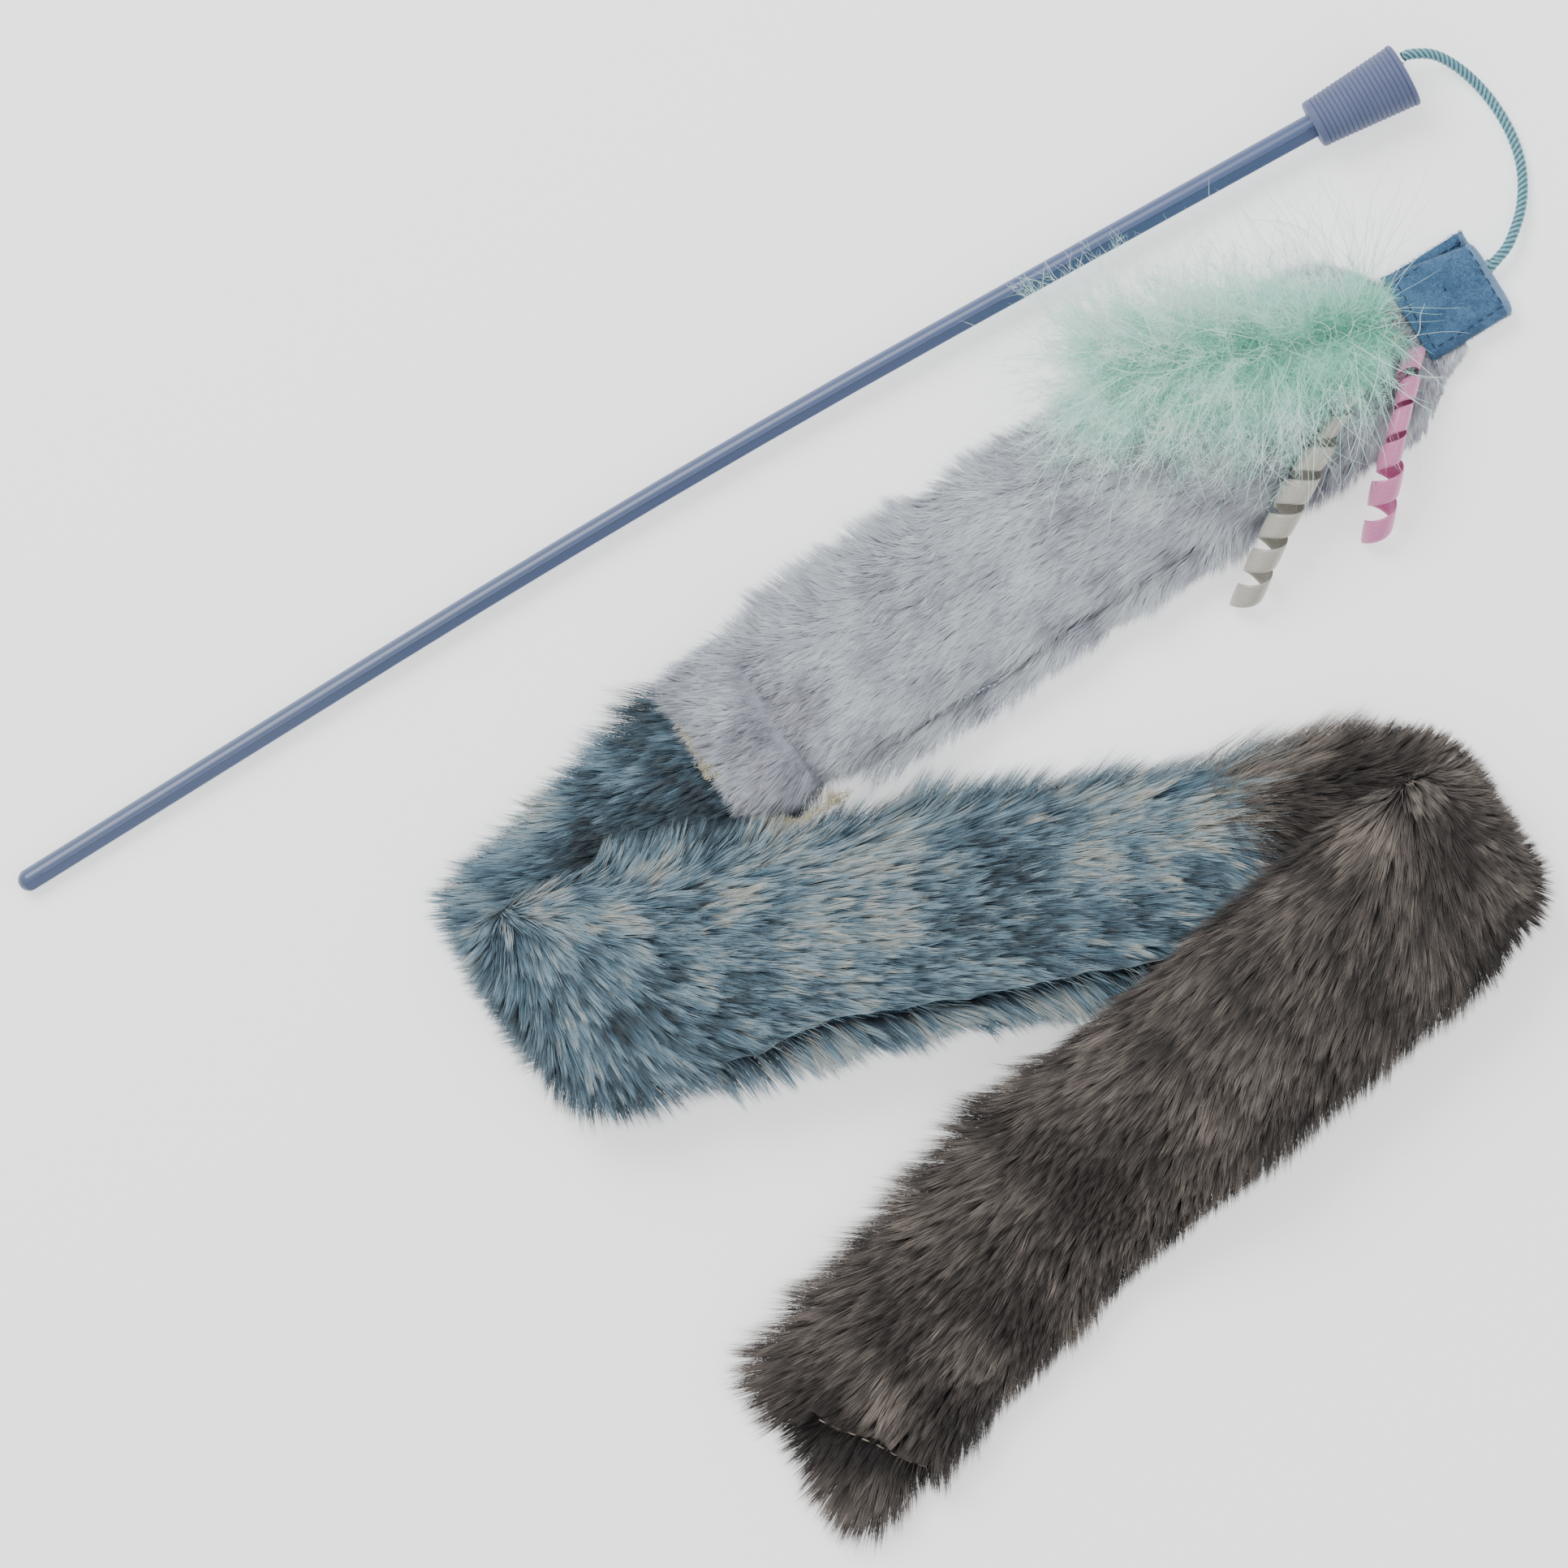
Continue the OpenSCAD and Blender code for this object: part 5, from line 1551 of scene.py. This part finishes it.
def barb_lines(base, heading, rise, size, sweep, sag, levels, rng, waver=0.3):
    """Curved lines that leave the quill and bend as they go."""
    count = len(base)
    line = np.zeros((count, levels + 1, 3))
    line[:, 0] = base
    wave = rng.uniform(0, FULL_TURN, count)
    for k in range(levels):
        t = (k + 0.5) / levels
        a = heading + sweep * t + waver * np.sin(wave + 6 * t) * (0.3 + t)
        e = rise - sag * t + 0.6 * waver * np.sin(wave * 1.7 + 5 * t)
        way = np.stack([np.cos(a) * np.cos(e), np.sin(a) * np.cos(e), np.sin(e)], axis=1)
        line[:, k + 1] = line[:, k] + way * (size / levels)[:, None]
    low = BARB_LOW + rng.uniform(0, 0.004, count)
    line[:, 1:, 2] = np.clip(line[:, 1:, 2], low[:, None], BARB_TOP)
    return line


def flat_sides(line):
    """Width directions that turn strips towards the sky."""
    ways = unit(np.gradient(line, axis=1))
    return unit(np.cross(ways, np.array([0.001, 0, 1.0])))[:, :-1]


def barb_piece(name, line, width, fade, tone, material, body="feather"):
    """A piece of tapered barbs. width: half a barb's width at its root, fade: the share of it
    that is lost towards the tip."""
    levels = line.shape[1] - 1
    half = np.full(len(line), width)[:, None] * (1 - fade * np.arange(levels) / levels)
    mesh = strip_mesh(name, line, half, flat_sides(line), tone)
    new_piece(name, mesh, material, body, "marabou")


class WAND_OT_feather(bpy.types.Operator):
    """Makes the marabou feather: shaft, barbs, the haze of their barbules and long stray barbs"""

    bl_idname = "wand.feather"
    bl_label = "Feather"

    def execute(self, context):
        settings = context.scene.wand_feather
        # Turkey marabou down, dyed mint: hollow fine barbs, paler towards their tips, and painted paler where light
        # shines through the thin down
        down = hair_material(
            "marabou down, dyed mint", settings.mint,
            [(0.0, linear("5FBF9F")), (0.20, settings.mint), (0.45, linear("B0EDDD")),
             (0.72, linear("D6F6EE")), (1.0, settings.pale)], (0.0, 0.1), 0.75, 0.25, 0.3)
        rng = np.random.default_rng(61)
        count, levels = settings.barbs, 8
        share = 0.10 + 0.85 * rng.beta(1.12, 0.9, count)
        base = on_quill(share)
        side = np.where(rng.random(count) < 0.5, 1.0, -1.0)
        heading = QUILL_HEADING + side * np.radians(104 - 62 * share + rng.normal(0, 24, count))
        rise = np.radians(rng.normal(24, 24, count))
        size = settings.reach * rng.lognormal(0, 0.26, count)
        # The down is shorter by the tab, and on the side of the photograph's lower edge throughout
        size = size * np.where(
            side < 0, 0.88 - 0.42 * (1 - smooth_step(share, 0.12, 0.55)),
            0.96 - 0.38 * (1 - smooth_step(share, 0.12, 0.5)))
        sweep = side * -np.radians(rng.normal(18, 26, count))
        line = barb_lines(base, heading, rise, size, sweep, np.radians(46), levels, rng)
        far = np.linalg.norm(line[:, -1] - base, axis=1)
        tone = 0.50 + 0.3 * share + rng.normal(0, 0.14, count) + 4 * (far - 0.02)
        barb_piece("feather_barbs", line, 0.000045, 0.75, tone, down)

        # Barbules: the haze round each barb, greenest by the quill and painted paler further out, for the light that
        # shines through it
        per = settings.barbules
        total = count * per
        which = np.repeat(np.arange(count), per)
        t = rng.beta(1.1, 1.0, total) * 0.98
        k = np.clip((t * levels).astype(int), 0, levels - 1)
        f = (t * levels - k)[:, None]
        root = line[which, k] * (1 - f) + line[which, k + 1] * f
        clear = root[:, 0] < TAB_LOW.x - 0.002
        root, which, k, t = root[clear], which[clear], k[clear], t[clear]
        total = len(root)
        way = unit(line[which, k + 1] - line[which, k])
        out = unit(way + unit(rng.normal(size=(total, 3))))
        reach = BARBULE_REACH * (1.0 - 0.55 * t) * rng.uniform(0.5, 1.4, total)
        fine = np.zeros((total, 3, 3))
        fine[:, 0] = root
        fine[:, 1] = root + out * (reach * 0.5)[:, None]
        bend = unit(out + 0.6 * unit(rng.normal(size=(total, 3))))
        fine[:, 2] = fine[:, 1] + bend * (reach * 0.5)[:, None]
        fine[:, :, 2] = np.clip(fine[:, :, 2], HAZE_LOW, HAZE_TOP)
        gap, place = quill_distance(root + (0, 0.005, 0))
        clump = waves(root, 0.010, 62)
        # Painted light: the haze is paler away from the quill and towards the feather's end
        tone = 0.27 + 0.42 * smooth_step(gap, 0.003, 0.026)
        tone = tone + 0.12 * smooth_step(place, 0.50, QUILL_END)
        tone = tone + 0.12 * clump + rng.normal(0, 0.08, total)
        half = np.tile([0.000033, 0.000025], (total, 1))
        order = np.argsort(place, kind="stable")
        for n, part in enumerate(np.array_split(order, math.ceil(total / STRIPS_PER_PIECE))):
            label = f"feather_haze_{n + 1}"
            mesh = strip_mesh(label, fine[part], half[part], flat_sides(fine[part]), tone[part])
            new_piece(label, mesh, down, "feather", "marabou", ["feather_down"] if n == 0 else ())

        # Curly core tufts, and long single barbs that stand out of the down
        count = 420
        share = 0.10 + 0.72 * rng.random(count)
        base = on_quill(share) + rng.normal(0, 0.004, (count, 3)) * (1, 1, 0.3)
        line = barb_lines(
            base, rng.uniform(0, FULL_TURN, count), np.radians(rng.uniform(10, 70, count)),
            rng.uniform(0.008, 0.017, count), rng.normal(0, 2.0, count), np.radians(80), 9, rng,
            0.6)
        tone = np.clip(rng.normal(0.50, 0.25, count), 0.0, 1)
        barb_piece("feather_curls", line, 0.00011, 0.7, tone, down)

        count = 460
        share = 0.10 + 0.84 * rng.random(count)
        side = np.where(rng.random(count) < 0.55, -1.0, 1.0)
        heading = QUILL_HEADING + side * np.radians(98 - 76 * share + rng.normal(0, 24, count))
        line = barb_lines(
            on_quill(share), heading, np.radians(rng.normal(26, 16, count)),
            rng.uniform(0.028, 0.054, count), side * -np.radians(rng.normal(8, 34, count)),
            np.radians(52), 10, rng, 0.2)
        barb_piece("feather_stray_barbs", line, 0.00010, 0.6, rng.uniform(0.5, 1, count), down)

        # The barbs by the quill's sewn end cling to the felt, and stay on it
        count = 26
        base = on_quill(rng.uniform(0.08, 0.30, count))
        base = base + rng.normal(0, 0.003, (count, 3)) * (0, 1, 0.2)
        line = barb_lines(
            base, np.radians(rng.uniform(-35, 55, count)), np.radians(rng.normal(32, 8, count)),
            rng.uniform(0.014, 0.038, count), np.radians(rng.normal(0, 25, count)),
            np.radians(40), 10, rng, 0.15)
        felt = np.array([[felt_top(x, y) for x, y in row] for row in line[:, :, :2]]) + 0.0005
        sunk = line[:, :, 2] - 0.008 * np.linspace(0, 1, 11)
        line[:, 1:, 2] = np.maximum(sunk, felt)[:, 1:]
        tone = rng.uniform(0.4, 0.95, count)
        barb_piece("feather_barbs_on_tab", line, 0.00006, 0.6, tone, down, "lure_head")

        # Shaft: pale keratin, tapering, hidden in the down
        quill, tree, shader = new_material("feather shaft, dyed keratin", 0.35, 0.5)
        grain = noise(tree, object_place(tree), 300, 3)
        paint(tree, shader, ramp(
            tree, grain, [(0.3, linear("8CD0B8")), (0.7, linear("B5E3D2"))]))
        shares = np.linspace(0, QUILL_END, 40)
        rings = rings_round(on_quill(shares), 0.0006 * (1 - 0.7 * shares), 12)
        new_piece(
            "feather_shaft", tube_mesh("feather_shaft", rings), quill, "feather", "marabou",
            ["feather_quill"])
        return {"FINISHED"}


# Guide points of the ribbon curls in metres, their turns and growths, nearly as in the part's
# source, and how tightly their first part is wound
RIBBON_ROOT_X = 0.40045
ROOT_Z = 0.00355
FUR_TOP_Z = 0.00985
LIE_Z = 0.0011
RIBBONS = {
    "pink": (
        [(RIBBON_ROOT_X, -0.0800, ROOT_Z + 0.00273),
         (RIBBON_ROOT_X - 0.016, -0.0925, FUR_TOP_Z + 0.01248),
         (RIBBON_ROOT_X - 0.034, -0.1150, LIE_Z)], 5.5, 0.05, 0.62, 0.6),
    "grey": (
        [(RIBBON_ROOT_X, -0.0720, ROOT_Z + 0.00156),
         (RIBBON_ROOT_X - 0.041, -0.0855, FUR_TOP_Z + 0.01833),
         (RIBBON_ROOT_X - 0.074, -0.1115, LIE_Z)], 8.5, 0.3, 0.42, 0.42),
}


def ribbon_mesh(name, guides, turns, grow, tight, loose_from, settings):
    """A band wound round a bent line, with a picot edge and rounded selvedges.

    tight: share of the curl's radius up to the share loose_from of its length."""
    g = np.array(guides)
    steps = int(92 * turns)
    across = 8
    rings = []
    for i in range(steps + 1):
        t = i / steps
        centre = (1 - t) ** 2 * g[0] + 2 * t * (1 - t) * g[1] + t * t * g[2]
        way = unit((1 - t) * (g[1] - g[0]) + t * (g[2] - g[1]))
        side = unit(np.cross((0, 0, 1), way))
        up = np.cross(way, side)
        angle = 2 * math.pi * turns * t
        out = math.cos(angle) * side + math.sin(angle) * up
        opening = smooth_step(np.array(t), loose_from - 0.1, loose_from + 0.15)
        opening = max(float(opening), 1 - float(smooth_step(np.array(t), 0.08, 0.2)))
        opened = tight + (1 - tight) * opening
        radius = settings.radius * min(1, 0.12 + t / grow) * opened
        half = settings.width / 2 * 1.06 + (0.00010 if i % 2 else -0.00004)
        ring = []
        for face, order in ((1, range(across + 1)), (-1, range(across, -1, -1))):
            for j in order:
                w = -1 + 2 * j / across
                thick = settings.thickness / 2 * (0.55 + 0.45 * (1 - abs(w) ** 6))
                crown = 0.00012 * (1 - w * w)
                ring.append(centre + out * (radius + face * thick + crown) + way * (w * half))
        rings.append(ring)
    return tube_mesh(name, rings)


class WAND_OT_ribbons(bpy.types.Operator):
    """Makes the pink and the grey curled satin ribbon"""

    bl_idname = "wand.ribbons"
    bl_label = "Ribbons"

    def execute(self, context):
        settings = context.scene.wand_ribbon
        for name, shade in (("pink", settings.pink), ("grey", settings.grey)):
            guides, turns, grow, tight, loose_from = RIBBONS[name]
            # Woven polyester satin, heat curled: long floats give a silky gloss, and their streaks are painted sheen,
            # a darker and a lighter copy of the ribbon's colour
            satin, tree, shader = new_material(f"polyester satin, {name}", 0.30, 0.55, 0.2)
            uv = add_node(tree, "ShaderNodeUVMap", uv_map="OFBake")
            scale = add_node(
                tree, "ShaderNodeMapping",
                {"Vector": uv.outputs["UV"], "Scale": (turns * 90, 26, 1)})
            weave_and_sheen = noise(tree, scale.outputs[0], 1, 2)
            # Painted sheen: a shaded and a lit copy of the ribbon's colour for the streaks
            dark = tuple(c * 0.82 for c in shade)
            light = tuple(min(1, c * 1.18 + 0.02) for c in shade)
            paint(tree, shader, ramp(
                tree, weave_and_sheen, [(0.3, dark), (0.55, tuple(shade)), (0.8, light)]))
            emboss(tree, shader, weave_and_sheen, 0.15, 0.0001)
            mesh = ribbon_mesh(
                f"{name}_satin_ribbon", guides, turns, grow, tight, loose_from, settings)
            new_piece(
                f"{name}_satin_ribbon", mesh, satin, f"{name}_curl", f"{name}_satin",
                [f"{name}_ribbon"])
        return {"FINISHED"}


OPERATORS = (
    WAND_OT_stage, WAND_OT_cord, WAND_OT_plastic, WAND_OT_felt, WAND_OT_grey_fur,
    WAND_OT_blue_fur, WAND_OT_brown_fur, WAND_OT_feather, WAND_OT_ribbons)
SETTINGS = {
    "wand_stage": WandStage, "wand_plastic": WandPlastic, "wand_cord": WandCord,
    "wand_felt": WandFelt, "wand_fur": WandFur, "wand_feather": WandFeather,
    "wand_ribbon": WandRibbon}


class WAND_PT_panel(bpy.types.Panel):
    """Lists the wand's settings and the steps that make its pieces"""

    bl_label = "Cat teaser wand"
    bl_space_type = "VIEW_3D"
    bl_region_type = "UI"
    bl_category = "Wand"

    def draw(self, context):
        for operator in OPERATORS:
            self.layout.operator(operator.bl_idname)
        for name, group in SETTINGS.items():
            box = self.layout.box()
            box.label(text=group.__doc__)
            for setting in group.__annotations__:
                box.prop(getattr(context.scene, name), setting)


def register():
    for group in SETTINGS.values():
        bpy.utils.register_class(group)
    for operator in OPERATORS:
        bpy.utils.register_class(operator)
    bpy.utils.register_class(WAND_PT_panel)
    for name, group in SETTINGS.items():
        setattr(bpy.types.Scene, name, PointerProperty(type=group))


def unregister():
    for name in SETTINGS:
        delattr(bpy.types.Scene, name)
    bpy.utils.unregister_class(WAND_PT_panel)
    for operator in reversed(OPERATORS):
        bpy.utils.unregister_class(operator)
    for group in SETTINGS.values():
        bpy.utils.unregister_class(group)


def main():
    register()
    bpy.ops.wand.stage()
    bpy.ops.wand.cord()
    bpy.ops.wand.plastic()
    bpy.ops.wand.felt()
    bpy.ops.wand.grey_fur()
    bpy.ops.wand.blue_fur()
    bpy.ops.wand.brown_fur()
    bpy.ops.wand.feather()
    bpy.ops.wand.ribbons()
    with open("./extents.json", "w") as file:
        boxes = {"cad": CAD_BOX, "visual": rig.bounds()}
        json.dump({k: [list(corner) for corner in box] for k, box in boxes.items()}, file)


if __name__ == "__main__":
    main()
